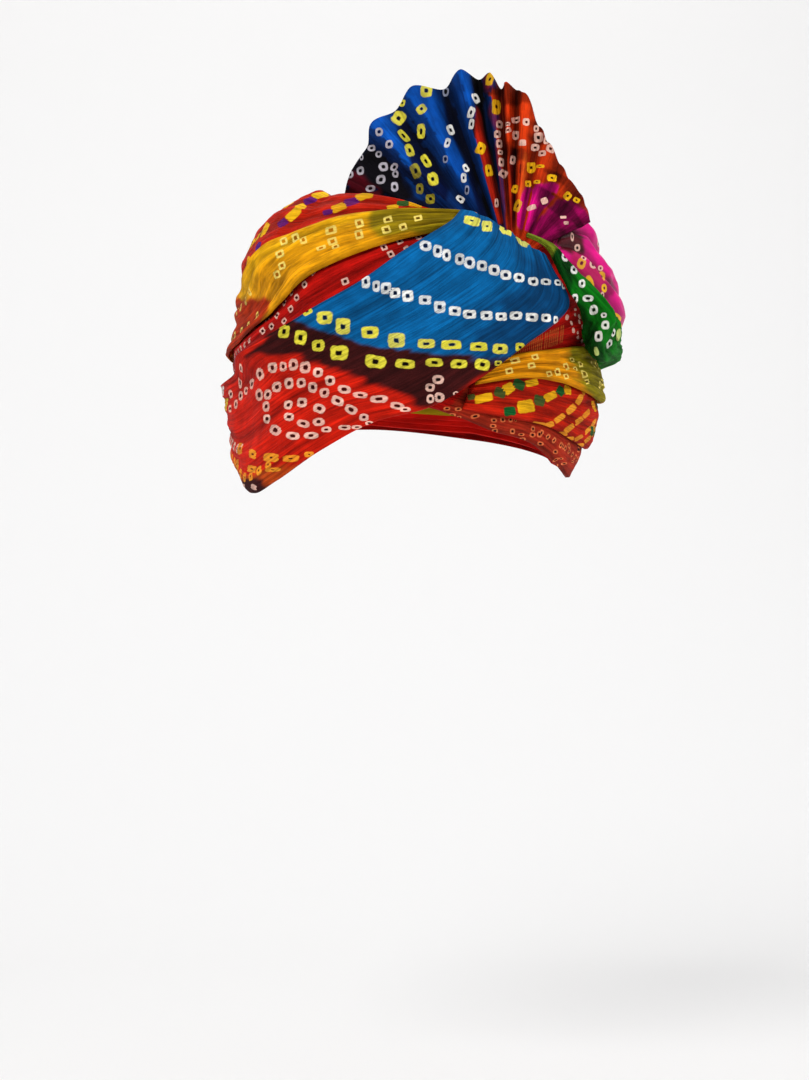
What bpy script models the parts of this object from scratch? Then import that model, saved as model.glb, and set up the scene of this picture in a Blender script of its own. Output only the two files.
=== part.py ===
# A tied turban: one long cloth wound round the head in overlapping turns, with a pleated fan.
# Metres, +Z up. The front faces -Y and the wearer's left is +X. The origin is the centre of the
# head opening, level with the front edge over the forehead. A direction is a bearing, 0 at the
# front and 90 at the wearer's left, and a rise, the angle above the pile's centre, in degrees.

import math
from collections import namedtuple

import bmesh
import bpy
import numpy as np

# The head that the turban sits on
HEAD_HALF_WIDTH = 0.082
HEAD_HALF_DEPTH = 0.100
CROWN_HEIGHT = 0.086  # inside, from the origin to the top of the head
CENTRE_HEIGHT = 0.015  # the pile's centre, from which bearings and rises are seen

# The pile of hidden turns that the visible turns lie on
PILE_LEFT = 0.106
PILE_RIGHT = 0.0858
PILE_FRONT = 0.110
PILE_BACK = 0.118
PILE_TOP = 0.1095  # above the pile's centre
PLAN_POWER = 2.2  # 2 is an ellipse in plan, more is squarer
SIDE_POWER = 3.7  # the same for the shoulder, seen from the front
RIM_EDGE_WALL = 0.010  # what is left of the pile's wall at the very rim

# Cloth
CROWN_WALL = 0.0018
LAYER_GAP = 0.0003
UNDER_WRAP_COUNT = 3
STEP_BACK = 0.11  # of a ring's height, that each hidden turn's edge stands back from the next

# The standing fan
FAN_HEIGHT = 0.114
FAN_THROAT_BEARING = 41.5
FAN_THROAT_RISE = 40.5
FAN_THROAT_RADIUS = 0.109
FAN_STEM_BEARING = 34.5
FAN_STEM_RISE = 31.5
FAN_STEM_RADIUS = 0.0985
FAN_STEM_WIDTH = 0.020
FAN_STEM_THICKNESS = 0.007
FAN_TURN = 24.0  # degrees that the fan's face is turned to the wearer's right
FAN_LEAN = 6.0  # degrees that it leans back
FAN_PLEAT_DEPTH = 0.011  # from crest to valley at the fan's edge
FAN_CLOTH = 0.0028
FAN_SWEEP = 0.50  # how far the wearer's left end bends back, as a share of its length
FAN_SWEEP_START = 75.0  # the direction from which it does

# The twisted roll
ROLL_RADIUS = 0.0085
ROLL_SIDES = 9
ROLL_LOBES = 3
ROLL_LOBE_DEPTH = 0.14
ROLL_TWIST_TURNS = 2.6
ROLL_STATIONS = 34
ROLL_BRIDGE = 1  # cells of the grid that it spans when it passes over an edge

# Fineness of the drape grid and of the solids
GRID_STEP = 2.0
LOWEST_RISE = -44.0
HIGHEST_RISE = 84.0
BILLOW_FULLNESS = 0.85  # lower is fuller towards the ends
FACET_SAMPLES = 7
COVER_SAMPLES = 10
RING_STATIONS = 28
CROWN_TOP_RISE = 78.0
UNDER_RINGS = 7
FAN_PARTS = (0.18, 0.4, 0.6, 0.8, 1.0)  # sections along the pleats, as shares of their length
UNDER_GAP = 0.0005

# Colours
CROWN_COLOR = (0.20, 0.19, 0.08)
UNDER_COLORS = ((0.45, 0.04, 0.02), (0.50, 0.05, 0.02), (0.62, 0.05, 0.02))
FAN_COLOR = (0.70, 0.15, 0.02)
ROLL_COLOR = (0.10, 0.33, 0.08)

Rim = namedtuple("Rim", "bearing edge_rise well_rise")
RIM_ROWS = [
    Rim(-180, -11.0, 64.0),
    Rim(-140, -15.0, 65.0),
    Rim(-108, -23.0, 66.0),
    Rim(-80, -29.0, 65.0),
    Rim(-55, -27.5, 62.0),
    Rim(-40, -22.0, 59.5),
    Rim(-25, -14.5, 56.0),
    Rim(-10, -10.0, 50.0),
    Rim(2, -9.0, 44.0),
    Rim(14, -13.0, 36.0),
    Rim(30, -17.0, 26.0),
    Rim(48, -23.0, 26.0),
    Rim(66, -28.0, 42.0),
    Rim(85, -28.0, 56.0),
    Rim(110, -22.0, 62.0),
    Rim(145, -14.5, 64.0),
    Rim(180, -11.0, 64.0),
]

# How the wall thins towards the rim: shares of the pile's wall at degrees above the rim's edge
Thinning = namedtuple("Thinning", "above_edge right_share left_share")
THINNING_ROWS = [
    Thinning(-6.0, 0.30, 0.15),
    Thinning(0.0, 0.62, 0.45),
    Thinning(4.0, 0.88, 0.75),
    Thinning(10.0, 1.00, 0.95),
    Thinning(18.0, 1.00, 1.00),
    Thinning(120.0, 1.00, 1.00),
]

# One row for each section across a wrap: where its lower and its upper edge lie. A wrap's billow
# is how far its middle stands off the pile, hollow behind, and its bridge is how many cells of
# the grid it spans when it passes over an edge below it.
Section = namedtuple("Section", "low_bearing low_rise high_bearing high_rise")
Wrap = namedtuple(
    "Wrap", "name color folds fold_depth billow wall edge_wall bridge stations rows"
)

TOP_WRAP = Wrap(
    "top_wrap", (0.55, 0.06, 0.05), 4, 0.0024, 0, 0.0014, 0.0009, 2, 22,
    [
        Section(56, 20, 62, 40),
        Section(76, 20, 78, 55),
        Section(100, 20, 100, 63),
        Section(130, 18, 130, 65),
        Section(160, 18, 160, 65),
        Section(190, 20, 190, 65),
        Section(220, 22, 220, 66),
        Section(250, 26, 250, 67),
        Section(280, 32, 280, 66),
        Section(300, 40, 300, 63),
    ],
)

RIM_WRAP = Wrap(
    "rim_wrap", (0.72, 0.05, 0.02), 2, 0.0020, 0, 0.0016, 0.0010, 2, 32,
    [
        Section(-24, -13, -24, 0),
        Section(-6, -9.5, -6, 1),
        Section(6, -12, 7, 0),
        Section(18, -16, 19, -3),
        Section(32, -19, 34, -5),
        Section(48, -25, 50, -6),
        Section(66, -29.5, 66, -7),
        Section(84, -29, 84, -5),
        Section(110, -23, 110, -1),
        Section(145, -16, 145, 3),
        Section(180, -12, 180, 6),
        Section(215, -16, 215, 4),
        Section(250, -24, 250, 0),
        Section(272, -29, 270, -5),
    ],
)

DOTTED_WRAP = Wrap(
    "dotted_wrap", (0.70, 0.02, 0.01), 3, 0.0018, 0, 0.0014, 0.0009, 2, 34,
    [
        Section(17, 33, 16, 39.5),
        Section(2, 29, 4, 38.5),
        Section(-14, 21, -13, 36),
        Section(-30, 12, -29, 32),
        Section(-47, 5, -46, 28),
        Section(-65, 0, -64, 22.5),
        Section(-90, -5, -90, 17),
        Section(-120, -6, -120, 15),
        Section(-150, -4, -150, 18),
        Section(-180, -1, -180, 22),
        Section(-210, 2, -210, 26),
        Section(-240, 3, -240, 29),
        Section(-265, 4, -265, 29),
        Section(-290, 5, -290, 27),
        Section(-309, 5, -309, 24),
        Section(-326, 3, -324, 18),
        Section(-342, -1, -340, 10),
    ],
)

CHECKED_WRAP = Wrap(
    "checked_wrap", (0.74, 0.03, 0.01), 4, 0.0017, 0, 0.0014, 0.0009, 2, 38,
    [
        Section(13, 41, 14, 44.0),
        Section(0, 40, 1, 46.5),
        Section(-14, 39, -15, 53),
        Section(-30, 37, -32, 57.5),
        Section(-48, 33, -50, 61),
        Section(-68, 28, -70, 63),
        Section(-92, 24, -94, 64),
        Section(-120, 20, -120, 60),
        Section(-150, 15, -150, 52),
        Section(-180, 7, -180, 42),
        Section(-210, -3, -210, 32),
        Section(-240, -12, -240, 22),
        Section(-265, -18, -265, 13),
        Section(-287, -20, -287, 7),
        Section(-306, -18, -305, 3),
        Section(-323, -14, -321, 2),
        Section(-338, -12, -335, 3),
        Section(-353, -10, -349, 0),
    ],
)

YELLOW_WRAP = Wrap(
    "yellow_wrap", (0.85, 0.48, 0.03), 4, 0.0013, 0, 0.0013, 0.0009, 2, 40,
    [
        Section(16, 38.5, 16, 43),
        Section(4, 37.5, 5, 43.5),
        Section(-10, 35, -11, 44.2),
        Section(-26, 31, -28, 43.8),
        Section(-42, 26.5, -45, 42),
        Section(-57, 22, -61, 38.5),
        Section(-73, 17, -77, 32),
        Section(-95, 13, -97, 28),
        Section(-122, 9, -122, 25),
        Section(-150, 5, -150, 22),
        Section(-180, 1, -180, 18),
        Section(-210, -2, -210, 15),
        Section(-240, -4, -240, 12.5),
        Section(-268, -5.5, -268, 10.5),
        Section(-290, -6, -290, 9.5),
        Section(-306, -4, -307, 9),
        Section(-322, -1.5, -322, 7.5),
        Section(-336, -1, -335, 6.0),
        Section(-350, -3, -347, 3.5),
    ],
)

BLUE_WRAP = Wrap(
    "blue_wrap", (0.01, 0.18, 0.48), 5, 0.0012, 0, 0.0016, 0.0010, 4, 32,
    [
        Section(42, 33, 9, 42.2),
        Section(43.5, 26.5, 5, 38.6),
        Section(42.5, 20, -2, 34.5),
        Section(34, 13, -10, 30),
        Section(22, 6, -22, 22.7),
        Section(9, -2.5, -36, 17),
        Section(-3, -9.5, -51, 11.6),
        Section(-18, -13.5, -65, 7.8),
        Section(-33, -20.5, -79, 3.5),
        Section(-50, -28.5, -92, 1.5),
        Section(-68, -33.0, -107, 0.5),
        Section(-90, -28.5, -122, 0.5),
        Section(-112, -23.5, -140, 1.5),
        Section(-135, -18, -160, 3),
        Section(-156, -14.5, -178, 1),
    ],
)

# The drape's folds run from the fan's root out over the shoulder
DRAPE_WRAP = Wrap(
    "side_drape", (0.62, 0.01, 0.25), 4, 0.0070, 0.011, 0.0022, 0.0022, 2, 16,
    [
        Section(51, 34.5, 52.5, 38),
        Section(54, 31, 59, 46),
        Section(61.5, 22.5, 70, 46),
        Section(70, 15, 84, 42.5),
        Section(80, 12.5, 98, 38),
        Section(90, 12.5, 110, 31),
    ],
)

WRAPS_IN_ORDER = (
    TOP_WRAP, RIM_WRAP, DOTTED_WRAP, CHECKED_WRAP, YELLOW_WRAP, BLUE_WRAP, DRAPE_WRAP
)

# A row for each crest, valley or edge of the fan, from the wearer's right to the left
Pleat = namedtuple("Pleat", "direction reach stand")
PLEAT_ROWS = [
    Pleat(160, 0.97, -0.5),
    Pleat(151, 0.98, 0.2),
    Pleat(143, 0.99, -0.3),
    Pleat(136, 1.035, 0.9),
    Pleat(129, 1.02, -0.5),
    Pleat(121, 1.055, 0.6),
    Pleat(113, 0.98, -0.7),
    Pleat(106, 1.02, 0.9),
    Pleat(102, 0.97, -1.0),
    Pleat(98, 0.98, 0.3),
    Pleat(95.5, 0.9, -0.8),
    Pleat(92.5, 0.91, 0.8),
    Pleat(90, 0.885, -0.6),
    Pleat(86, 0.85, 1.0),
    Pleat(80, 0.7, -0.5),
    Pleat(73, 0.62, 0.5),
    Pleat(65, 0.545, -0.6),
    Pleat(56, 0.5, 0.3),
    Pleat(47, 0.48, -0.4),
    Pleat(37, 0.455, 0.4),
    Pleat(29, 0.43, -0.4),
]

# The roll's route, and its thickness as a share of its full radius
RollPoint = namedtuple("RollPoint", "bearing rise fullness")
ROLL_ROWS = [
    RollPoint(35, 38.5, 0.28),
    RollPoint(41, 36, 0.42),
    RollPoint(45, 32.5, 0.62),
    RollPoint(46, 27, 0.85),
    RollPoint(45.5, 20.5, 1.0),
    RollPoint(49, 15.5, 1.05),
    RollPoint(54.5, 10.8, 1.0),
    RollPoint(62, 8.2, 0.85),
    RollPoint(78, 8, 0.6),
    RollPoint(100, 6.5, 0.45),
    RollPoint(130, 3.5, 0.45),
    RollPoint(158, 0.5, 0.4),
    RollPoint(182, -1, 0.3),
]


def compass(bearing, rise):
    """The unit vectors of these directions."""
    b, r = np.radians(bearing), np.radians(rise)
    return np.stack([np.cos(r) * np.sin(b), -np.cos(r) * np.cos(b), np.sin(r)], axis=-1)


def at(bearing, rise, radius):
    """The points this far from the pile's centre in these directions."""
    points = compass(bearing, rise) * np.asarray(radius)[..., None]
    return points + np.array([0.0, 0.0, CENTRE_HEIGHT])


def form_radius(bearing, rise, left, right, front, back, top, plan_power, side_power):
    """Distance from the centre to a rounded form with a straight wall below the centre."""
    d = compass(bearing, rise)
    wide = np.where(d[..., 0] > 0, left, right)
    deep = np.where(d[..., 1] < 0, front, back)
    plan = (np.abs(d[..., 0]) / wide) ** plan_power + (np.abs(d[..., 1]) / deep) ** plan_power
    plan = plan ** (1 / plan_power)
    upward = np.clip(d[..., 2], 0, None) / top
    return (plan**side_power + upward**side_power) ** (-1 / side_power)


def head_radius(bearing, rise):
    half, deep = HEAD_HALF_WIDTH, HEAD_HALF_DEPTH
    top = CROWN_HEIGHT - CENTRE_HEIGHT
    return form_radius(bearing, rise, half, half, deep, deep, top, 2.0, 2.0)


def column(rows, name):
    return np.array([getattr(row, name) for row in rows], float)


def rim_value(name, bearing):
    """A column of the rim's table at these bearings."""
    turned = (np.asarray(bearing, float) + 180) % 360 - 180
    return np.interp(turned, column(RIM_ROWS, "bearing"), column(RIM_ROWS, name))


def pile_radius(bearing, rise):
    """The outer surface of the hidden turns, thinning towards the rim."""
    full = form_radius(bearing, rise, PILE_LEFT, PILE_RIGHT, PILE_FRONT, PILE_BACK,
                       PILE_TOP, PLAN_POWER, SIDE_POWER)
    above = np.asarray(rise) - rim_value("edge_rise", bearing)
    places = column(THINNING_ROWS, "above_edge")
    right = np.interp(above, places, column(THINNING_ROWS, "right_share"))
    left = np.interp(above, places, column(THINNING_ROWS, "left_share"))
    side = (1 + np.sin(np.radians(bearing))) / 2
    share = right + (left - right) * side
    inside = head_radius(bearing, rise) + CROWN_WALL
    least = np.minimum(inside + RIM_EDGE_WALL, full)
    return np.maximum(inside + (full - inside) * share, least)


def smooth_rows(rows, count):
    """The rows' columns at evenly spaced places along a smooth curve through them."""
    table = np.array(rows, float)
    last = len(table) - 1
    places = np.linspace(0, last, count)
    k = np.clip(np.floor(places).astype(int), 0, last - 1)
    t = (places - k)[:, None]
    before = table[np.clip(k - 1, 0, last)]
    start = table[k]
    end = table[k + 1]
    after = table[np.clip(k + 2, 0, last)]
    return 0.5 * (
        2 * start
        + (end - before) * t
        + (2 * before - 5 * start + 4 * end - after) * t**2
        + (3 * start - before - 3 * end + after) * t**3
    )


class Pile:
    """How far out the cloth wound so far reaches, on a grid of bearings and rises."""

    def __init__(self):
        self.bearings = np.arange(0, 360, GRID_STEP)
        self.rises = np.arange(LOWEST_RISE, HIGHEST_RISE + GRID_STEP, GRID_STEP)
        bearing, rise = np.meshgrid(self.bearings, self.rises, indexing="ij")
        self.reach = pile_radius(bearing, rise)

    def place(self, bearing, rise):
        across = (np.asarray(bearing) % 360) / GRID_STEP
        upward = (np.asarray(rise) - LOWEST_RISE) / GRID_STEP
        return across, np.clip(upward, 0, len(self.rises) - 1.001)

    def cover(self, points):
        """Raises the pile to these points of a new piece's outer surface."""
        bearing, rise, radius = polar(points)
        across, upward = self.place(bearing, rise)
        i = np.round(across).astype(int) % len(self.bearings)
        j = np.round(upward).astype(int)
        np.maximum.at(self.reach, (i, j), radius)

    def around(self, field, cells, combine):
        """Each cell's neighbours up to this many cells away, combined."""
        for axis in (0, 1):
            found = []
            for shift in range(-cells, cells + 1):
                moved = np.roll(field, shift, axis)
                if axis == 1 and shift > 0:
                    moved[:, :shift] = field[:, :1]
                if axis == 1 and shift < 0:
                    moved[:, shift:] = field[:, -1:]
                found.append(moved)
            field = combine(found)
        return field

    def highest_near(self, cells):
        return self.around(self.reach, cells, lambda found: np.max(found, axis=0))

    def seat(self, bridge):
        """A smooth surface that clears the pile, as cloth drawn over it would."""
        return self.around(
            self.highest_near(bridge), bridge, lambda found: np.mean(found, axis=0)
        )

    def read(self, field, bearing, rise):
        """The field between the grid's cells."""
        across, upward = self.place(bearing, rise)
        i, j = np.floor(across).astype(int), np.floor(upward).astype(int)
        u, v = across - i, upward - j
        i, k = i % len(self.bearings), (i + 1) % len(self.bearings)
        low = field[i, j] * (1 - u) + field[k, j] * u
        high = field[i, j + 1] * (1 - u) + field[k, j + 1] * u
        return low * (1 - v) + high * v

    def rest(self, bearing, rise, bridge):
        """Radii at which a grid of flat facets rests on the pile without dipping into it."""
        radius = self.read(self.seat(bridge), bearing, rise) + LAYER_GAP
        near = self.highest_near(1)
        for _ in range(3):
            found = facet_points(at(bearing, rise, radius), FACET_SAMPLES)
            seen_bearing, seen_rise, seen_radius = polar(found)
            lack = self.read(near, seen_bearing, seen_rise) + LAYER_GAP - seen_radius
            lack = np.clip(lack.max(axis=(0, 1)), 0, None)
            radius = radius + spread_to_corners(lack)
        return radius - self.spare(facet_points(at(bearing, rise, radius), FACET_SAMPLES))

    def spare(self, points):
        """How much closer these points can come to the pile, at the one that is nearest."""
        bearing, rise, radius = polar(points)
        height = radius - self.read(self.highest_near(1), bearing, rise)
        return max(0.0, height.min() - LAYER_GAP)


def polar(points):
    """The bearing, rise and radius of these points, seen from the pile's centre."""
    x, y = points[..., 0], points[..., 1]
    z = points[..., 2] - CENTRE_HEIGHT
    flat = np.hypot(x, y)
    return (
        np.degrees(np.arctan2(x, -y)),
        np.degrees(np.arctan2(z, flat)),
        np.hypot(flat, z),
    )


def spread_to_corners(lack):
    """What each corner must rise so that its facets do, eased along the cloth."""
    raised = np.pad(lack, 1)
    raised = np.max([raised[:-1, :-1], raised[1:, :-1], raised[:-1, 1:], raised[1:, 1:]], axis=0)
    wide = np.pad(raised, ((2, 2), (0, 0)), mode="edge")
    highest = np.max([wide[shift : len(wide) - 2 + shift] for shift in range(3)], axis=0)
    return np.mean([highest[shift : len(highest) - 2 + shift] for shift in range(3)], axis=0)


def facet_points(corners, samples):
    """Points spread over every facet of a grid of corners."""
    steps = np.linspace(0, 1, samples)
    u, v = np.meshgrid(steps, steps, indexing="ij")
    u, v = (share[:, :, None, None, None] for share in (u, v))
    near_side = corners[:-1, :-1] * (1 - u) + corners[1:, :-1] * u
    far_side = corners[:-1, 1:] * (1 - u) + corners[1:, 1:] * u
    return near_side * (1 - v) + far_side * v


def quad(a, b, c, d):
    return [(a, b, c), (a, c, d)]


def make_piece(name, color, points, triangles):
    mesh = bpy.data.meshes.new(name)
    mesh.from_pydata([tuple(point) for point in points], [], triangles)
    shape = bmesh.new()
    shape.from_mesh(mesh)
    bmesh.ops.recalc_face_normals(shape, faces=shape.faces)
    shape.to_mesh(mesh)
    shape.free()
    material = bpy.data.materials.new(name)
    material.use_nodes = True
    shader = material.node_tree.nodes["Principled BSDF"]
    shader.inputs["Base Color"].default_value = (*color, 1.0)
    shader.inputs["Roughness"].default_value = 0.8
    mesh.materials.append(material)
    piece = bpy.data.objects.new(name, mesh)
    bpy.context.scene.collection.objects.link(piece)
    return piece


def make_shell(name, color, outer, inner, ring):
    """A closed solid between two grids of points; a ring joins its last station to its first."""
    stations, columns = outer.shape[:2]
    points = np.concatenate([outer.reshape(-1, 3), inner.reshape(-1, 3)])
    inside = stations * columns
    triangles = []
    for i in range(stations if ring else stations - 1):
        here, there = i * columns, (i + 1) % stations * columns
        for j in range(columns - 1):
            triangles += quad(here + j, there + j, there + j + 1, here + j + 1)
            triangles += quad(
                inside + here + j, inside + here + j + 1, inside + there + j + 1, inside + there + j
            )
        for j in (0, columns - 1):
            band = quad(here + j, inside + here + j, inside + there + j, there + j)
            triangles += band if j == 0 else [corners[::-1] for corners in band]
    if not ring:
        for i in (0, stations - 1):
            for j in range(columns - 1):
                start = i * columns + j
                band = quad(start, start + 1, inside + start + 1, inside + start)
                triangles += band if i == 0 else [corners[::-1] for corners in band]
    return make_piece(name, color, points, triangles)


def hidden_grid():
    """Bearings and rises over a hidden turn."""
    bearing = np.linspace(-180, 180, RING_STATIONS, endpoint=False)
    low = rim_value("edge_rise", bearing)
    high = rim_value("well_rise", bearing)
    shares = np.linspace(0, 1, UNDER_RINGS)
    rise = low[:, None] + (high - low)[:, None] * shares
    return np.repeat(bearing[:, None], UNDER_RINGS, axis=1), rise


def stand_back(points, turns_outside):
    """The same grid with its lower edge back from those of the turns outside it."""
    points[:, 0] += (points[:, 1] - points[:, 0]) * STEP_BACK * turns_outside
    return points


def make_crown_cloth():
    """The first layer, a dome over the head with its edge just inside the rim."""
    bearing, rise = hidden_grid()
    top_rise = np.full((RING_STATIONS, 1), CROWN_TOP_RISE)
    rise = np.concatenate([rise, (rise[:, -1:] + top_rise) / 2, top_rise], axis=1)
    bearing = np.repeat(bearing[:, :1], rise.shape[1], axis=1)
    inside = head_radius(bearing, rise)
    outer = stand_back(at(bearing, rise, inside + CROWN_WALL), UNDER_WRAP_COUNT).reshape(-1, 3)
    inner = stand_back(at(bearing, rise, inside), UNDER_WRAP_COUNT).reshape(-1, 3)
    top = np.array([[0, 0, CROWN_HEIGHT + CROWN_WALL], [0, 0, CROWN_HEIGHT]])
    points = np.concatenate([outer, inner, top])
    columns = rise.shape[1]
    inside = len(outer)
    triangles = []
    for i in range(RING_STATIONS):
        here, there = i * columns, (i + 1) % RING_STATIONS * columns
        for j in range(columns - 1):
            triangles += quad(here + j, there + j, there + j + 1, here + j + 1)
            triangles += quad(
                inside + here + j, inside + here + j + 1, inside + there + j + 1, inside + there + j
            )
        triangles += quad(here, inside + here, inside + there, there)
        last_here, last_there = here + columns - 1, there + columns - 1
        triangles.append((last_here, last_there, 2 * inside))
        triangles.append((inside + last_there, inside + last_here, 2 * inside + 1))
    return make_piece("crown_cloth", CROWN_COLOR, points, triangles)


def make_under_wraps():
    """The hidden turns, nested, each with its edges a little back from the next one out."""
    bearing, rise = hidden_grid()
    start = head_radius(bearing, rise) + CROWN_WALL + UNDER_GAP
    room = pile_radius(bearing, rise) - start
    for number in range(UNDER_WRAP_COUNT):
        inner = start + room * number / UNDER_WRAP_COUNT
        turns_outside = UNDER_WRAP_COUNT - 1 - number
        gap = UNDER_GAP if turns_outside else 0
        outer = start + room * (number + 1) / UNDER_WRAP_COUNT - gap
        make_shell(
            f"under_wrap_{number + 1}",
            UNDER_COLORS[number],
            stand_back(at(bearing, rise, outer), turns_outside),
            stand_back(at(bearing, rise, inner), turns_outside),
            True,
        )


def wrap_folds(wrap, places, shares):
    """The height of the folds along a wrap's length."""
    folds = np.zeros((len(places), len(shares)))
    for number in range(wrap.folds):
        middle = (number + 0.5) / wrap.folds
        strength = 0.75 + 0.25 * np.sin(2.1 * number + places * (7 + 2 * number))
        nearness = np.clip(1 - np.abs(shares - middle) * 2 * wrap.folds, 0, 1)
        folds += strength[:, None] * nearness
    return wrap.fold_depth * folds


def make_wrap(pile, wrap):
    """One turn of the cloth, drawn over everything wound before it."""
    sections = smooth_rows(wrap.rows, wrap.stations)
    places = np.linspace(0, 1, wrap.stations)
    shares = np.linspace(0, 1, 2 * wrap.folds + 1)
    low, high = sections[:, None, :2], sections[:, None, 2:]
    seen = low + (high - low) * shares[:, None]
    bearing, rise = seen[..., 0], seen[..., 1]
    inner = pile.rest(bearing, rise, wrap.bridge)
    folds = wrap_folds(wrap, places, shares)
    edge = (shares == 0) | (shares == 1)
    if wrap.billow:
        arch = np.sin(math.pi * places)[:, None] ** BILLOW_FULLNESS
        inner = inner + arch * (wrap.billow * np.sin(math.pi * shares) + folds)
        outer = inner + wrap.wall
    else:
        outer = inner + np.where(edge, wrap.edge_wall, wrap.wall + folds)
    outer_points = at(bearing, rise, outer)
    piece = make_shell(wrap.name, wrap.color, outer_points, at(bearing, rise, inner), False)
    pile.cover(facet_points(outer_points, COVER_SAMPLES))
    return piece


def make_fan():
    """The cloth's pleated end, standing from a stem between the crown and the front turns."""
    turn, lean = math.radians(FAN_TURN), math.radians(FAN_LEAN)
    across = np.array([math.cos(turn), -math.sin(turn), 0.0])
    back = np.array([math.sin(turn), math.cos(turn), 0.0])
    up = math.cos(lean) * np.array([0.0, 0.0, 1.0]) + math.sin(lean) * back
    facing = math.sin(lean) * np.array([0.0, 0.0, 1.0]) - math.cos(lean) * back
    throat = at(FAN_THROAT_BEARING, FAN_THROAT_RISE, FAN_THROAT_RADIUS)
    stem = at(FAN_STEM_BEARING, FAN_STEM_RISE, FAN_STEM_RADIUS)
    middles, halves = [], []
    for number, pleat in enumerate(PLEAT_ROWS):
        share = number / (len(PLEAT_ROWS) - 1) - 0.5
        root = across * share * FAN_STEM_WIDTH
        direction = math.radians(pleat.direction)
        spoke = math.cos(direction) * across + math.sin(direction) * up
        swept = max(0.0, FAN_SWEEP_START - pleat.direction) / FAN_SWEEP_START
        line, thickness = [stem + root, throat + root * 0.8], [1.0, 0.9]
        for part in FAN_PARTS:
            length = FAN_HEIGHT * pleat.reach * part
            stand = FAN_PLEAT_DEPTH / 2 * pleat.stand * part
            bend = FAN_SWEEP * swept * length * part
            line.append(throat + root * 0.8 * (1 - part) + spoke * length + facing * (stand - bend))
            thickness.append(max(0.0, 0.5 - 1.2 * part))
        middles.append(line)
        halves.append(thickness)
    middles = np.array(middles)
    halves = (FAN_CLOTH + (FAN_STEM_THICKNESS - FAN_CLOTH) * np.array(halves))[..., None] / 2
    return make_shell(
        "pleated_fan", FAN_COLOR, middles + facing * halves, middles - facing * halves, False
    )


def roll_points(route, reach):
    """The roll's rings of points, its axis this far from the pile's centre."""
    bearing, rise, fullness = route[:, 0], route[:, 1], route[:, 2]
    size = ROLL_RADIUS * fullness
    centre = at(bearing, rise, reach + size)
    along = np.gradient(centre, axis=0)
    along /= np.linalg.norm(along, axis=1)[:, None]
    outward = compass(bearing, rise)
    outward = outward - along * (outward * along).sum(axis=1)[:, None]
    outward /= np.linalg.norm(outward, axis=1)[:, None]
    sideways = np.cross(along, outward)
    place = np.linspace(0, 1, ROLL_STATIONS)[:, None]
    angle = np.linspace(0, 2 * math.pi, ROLL_SIDES, endpoint=False)
    lobe = np.cos(ROLL_LOBES * angle - 2 * math.pi * ROLL_TWIST_TURNS * place)
    radius = (size[:, None] * (1 + ROLL_LOBE_DEPTH * lobe))[..., None]
    around = np.cos(angle)[:, None] * outward[:, None] + np.sin(angle)[:, None] * sideways[:, None]
    return centre, centre[:, None] + radius * around


def make_roll(pile):
    """The twisted roll, a tube with lobes that turn along its route."""
    route = smooth_rows(ROLL_ROWS, ROLL_STATIONS)
    highest = pile.read(pile.highest_near(ROLL_BRIDGE), route[:, 0], route[:, 1])
    wide = np.pad(highest, 2, mode="edge")
    reach = np.max([wide[shift : len(wide) - 4 + shift] for shift in range(5)], axis=0)
    reach = np.convolve(np.pad(reach, 2, mode="edge"), np.ones(5) / 5, mode="valid")
    _, rings = roll_points(route, reach)
    centre, rings = roll_points(route, reach - pile.spare(rings))
    points = list(rings.reshape(-1, 3))
    triangles = []
    for k in range(ROLL_STATIONS - 1):
        for side in range(ROLL_SIDES):
            beside = (side + 1) % ROLL_SIDES
            here, there = k * ROLL_SIDES, (k + 1) * ROLL_SIDES
            triangles += quad(here + side, here + beside, there + beside, there + side)
    for k in (0, ROLL_STATIONS - 1):
        points.append(centre[k])
        middle = len(points) - 1
        for side in range(ROLL_SIDES):
            beside = (side + 1) % ROLL_SIDES
            start = k * ROLL_SIDES
            end = (middle, start + side, start + beside)
            triangles.append(end if k else end[::-1])
    return make_piece("green_roll", ROLL_COLOR, points, triangles)


def main():
    for piece in list(bpy.data.objects):
        bpy.data.objects.remove(piece)
    pile = Pile()
    make_crown_cloth()
    make_under_wraps()
    for wrap in WRAPS_IN_ORDER:
        make_wrap(pile, wrap)
    make_fan()
    make_roll(pile)


main()
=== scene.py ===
import math
import bpy
import numpy as np
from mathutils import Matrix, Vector


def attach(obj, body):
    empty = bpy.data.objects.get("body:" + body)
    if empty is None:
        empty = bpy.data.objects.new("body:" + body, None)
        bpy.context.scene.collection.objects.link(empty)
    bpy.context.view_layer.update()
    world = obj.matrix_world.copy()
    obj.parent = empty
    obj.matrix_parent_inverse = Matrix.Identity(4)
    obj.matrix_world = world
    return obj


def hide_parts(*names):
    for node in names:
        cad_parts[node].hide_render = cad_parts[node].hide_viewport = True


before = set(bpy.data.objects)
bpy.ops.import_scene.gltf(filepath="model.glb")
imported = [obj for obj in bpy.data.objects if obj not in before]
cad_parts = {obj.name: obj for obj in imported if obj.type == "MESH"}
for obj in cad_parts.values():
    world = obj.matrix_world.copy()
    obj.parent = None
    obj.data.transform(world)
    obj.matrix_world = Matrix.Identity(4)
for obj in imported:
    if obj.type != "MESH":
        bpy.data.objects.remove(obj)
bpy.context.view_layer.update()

# Directions are a bearing, 0 at the front and 90 at the wearer's left, and a rise, in degrees,
# both seen from the centre of the wound pile. Lengths are metres.
head = {"halfWidth": 0.082, "halfDepth": 0.100, "crownHeight": 0.086, "centreHeight": 0.015}
pileForm = {
    "left": 0.106, "right": 0.0858, "front": 0.110, "back": 0.118, "top": 0.1095,
    "planPower": 2.2, "sidePower": 3.7, "rimWall": 0.010, "crownWall": 0.0018, "gap": 0.0003,
    "edgeWall": 0.0002, "gridStep": 0.75, "lowest": -44.0, "highest": 84.0,
}
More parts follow.
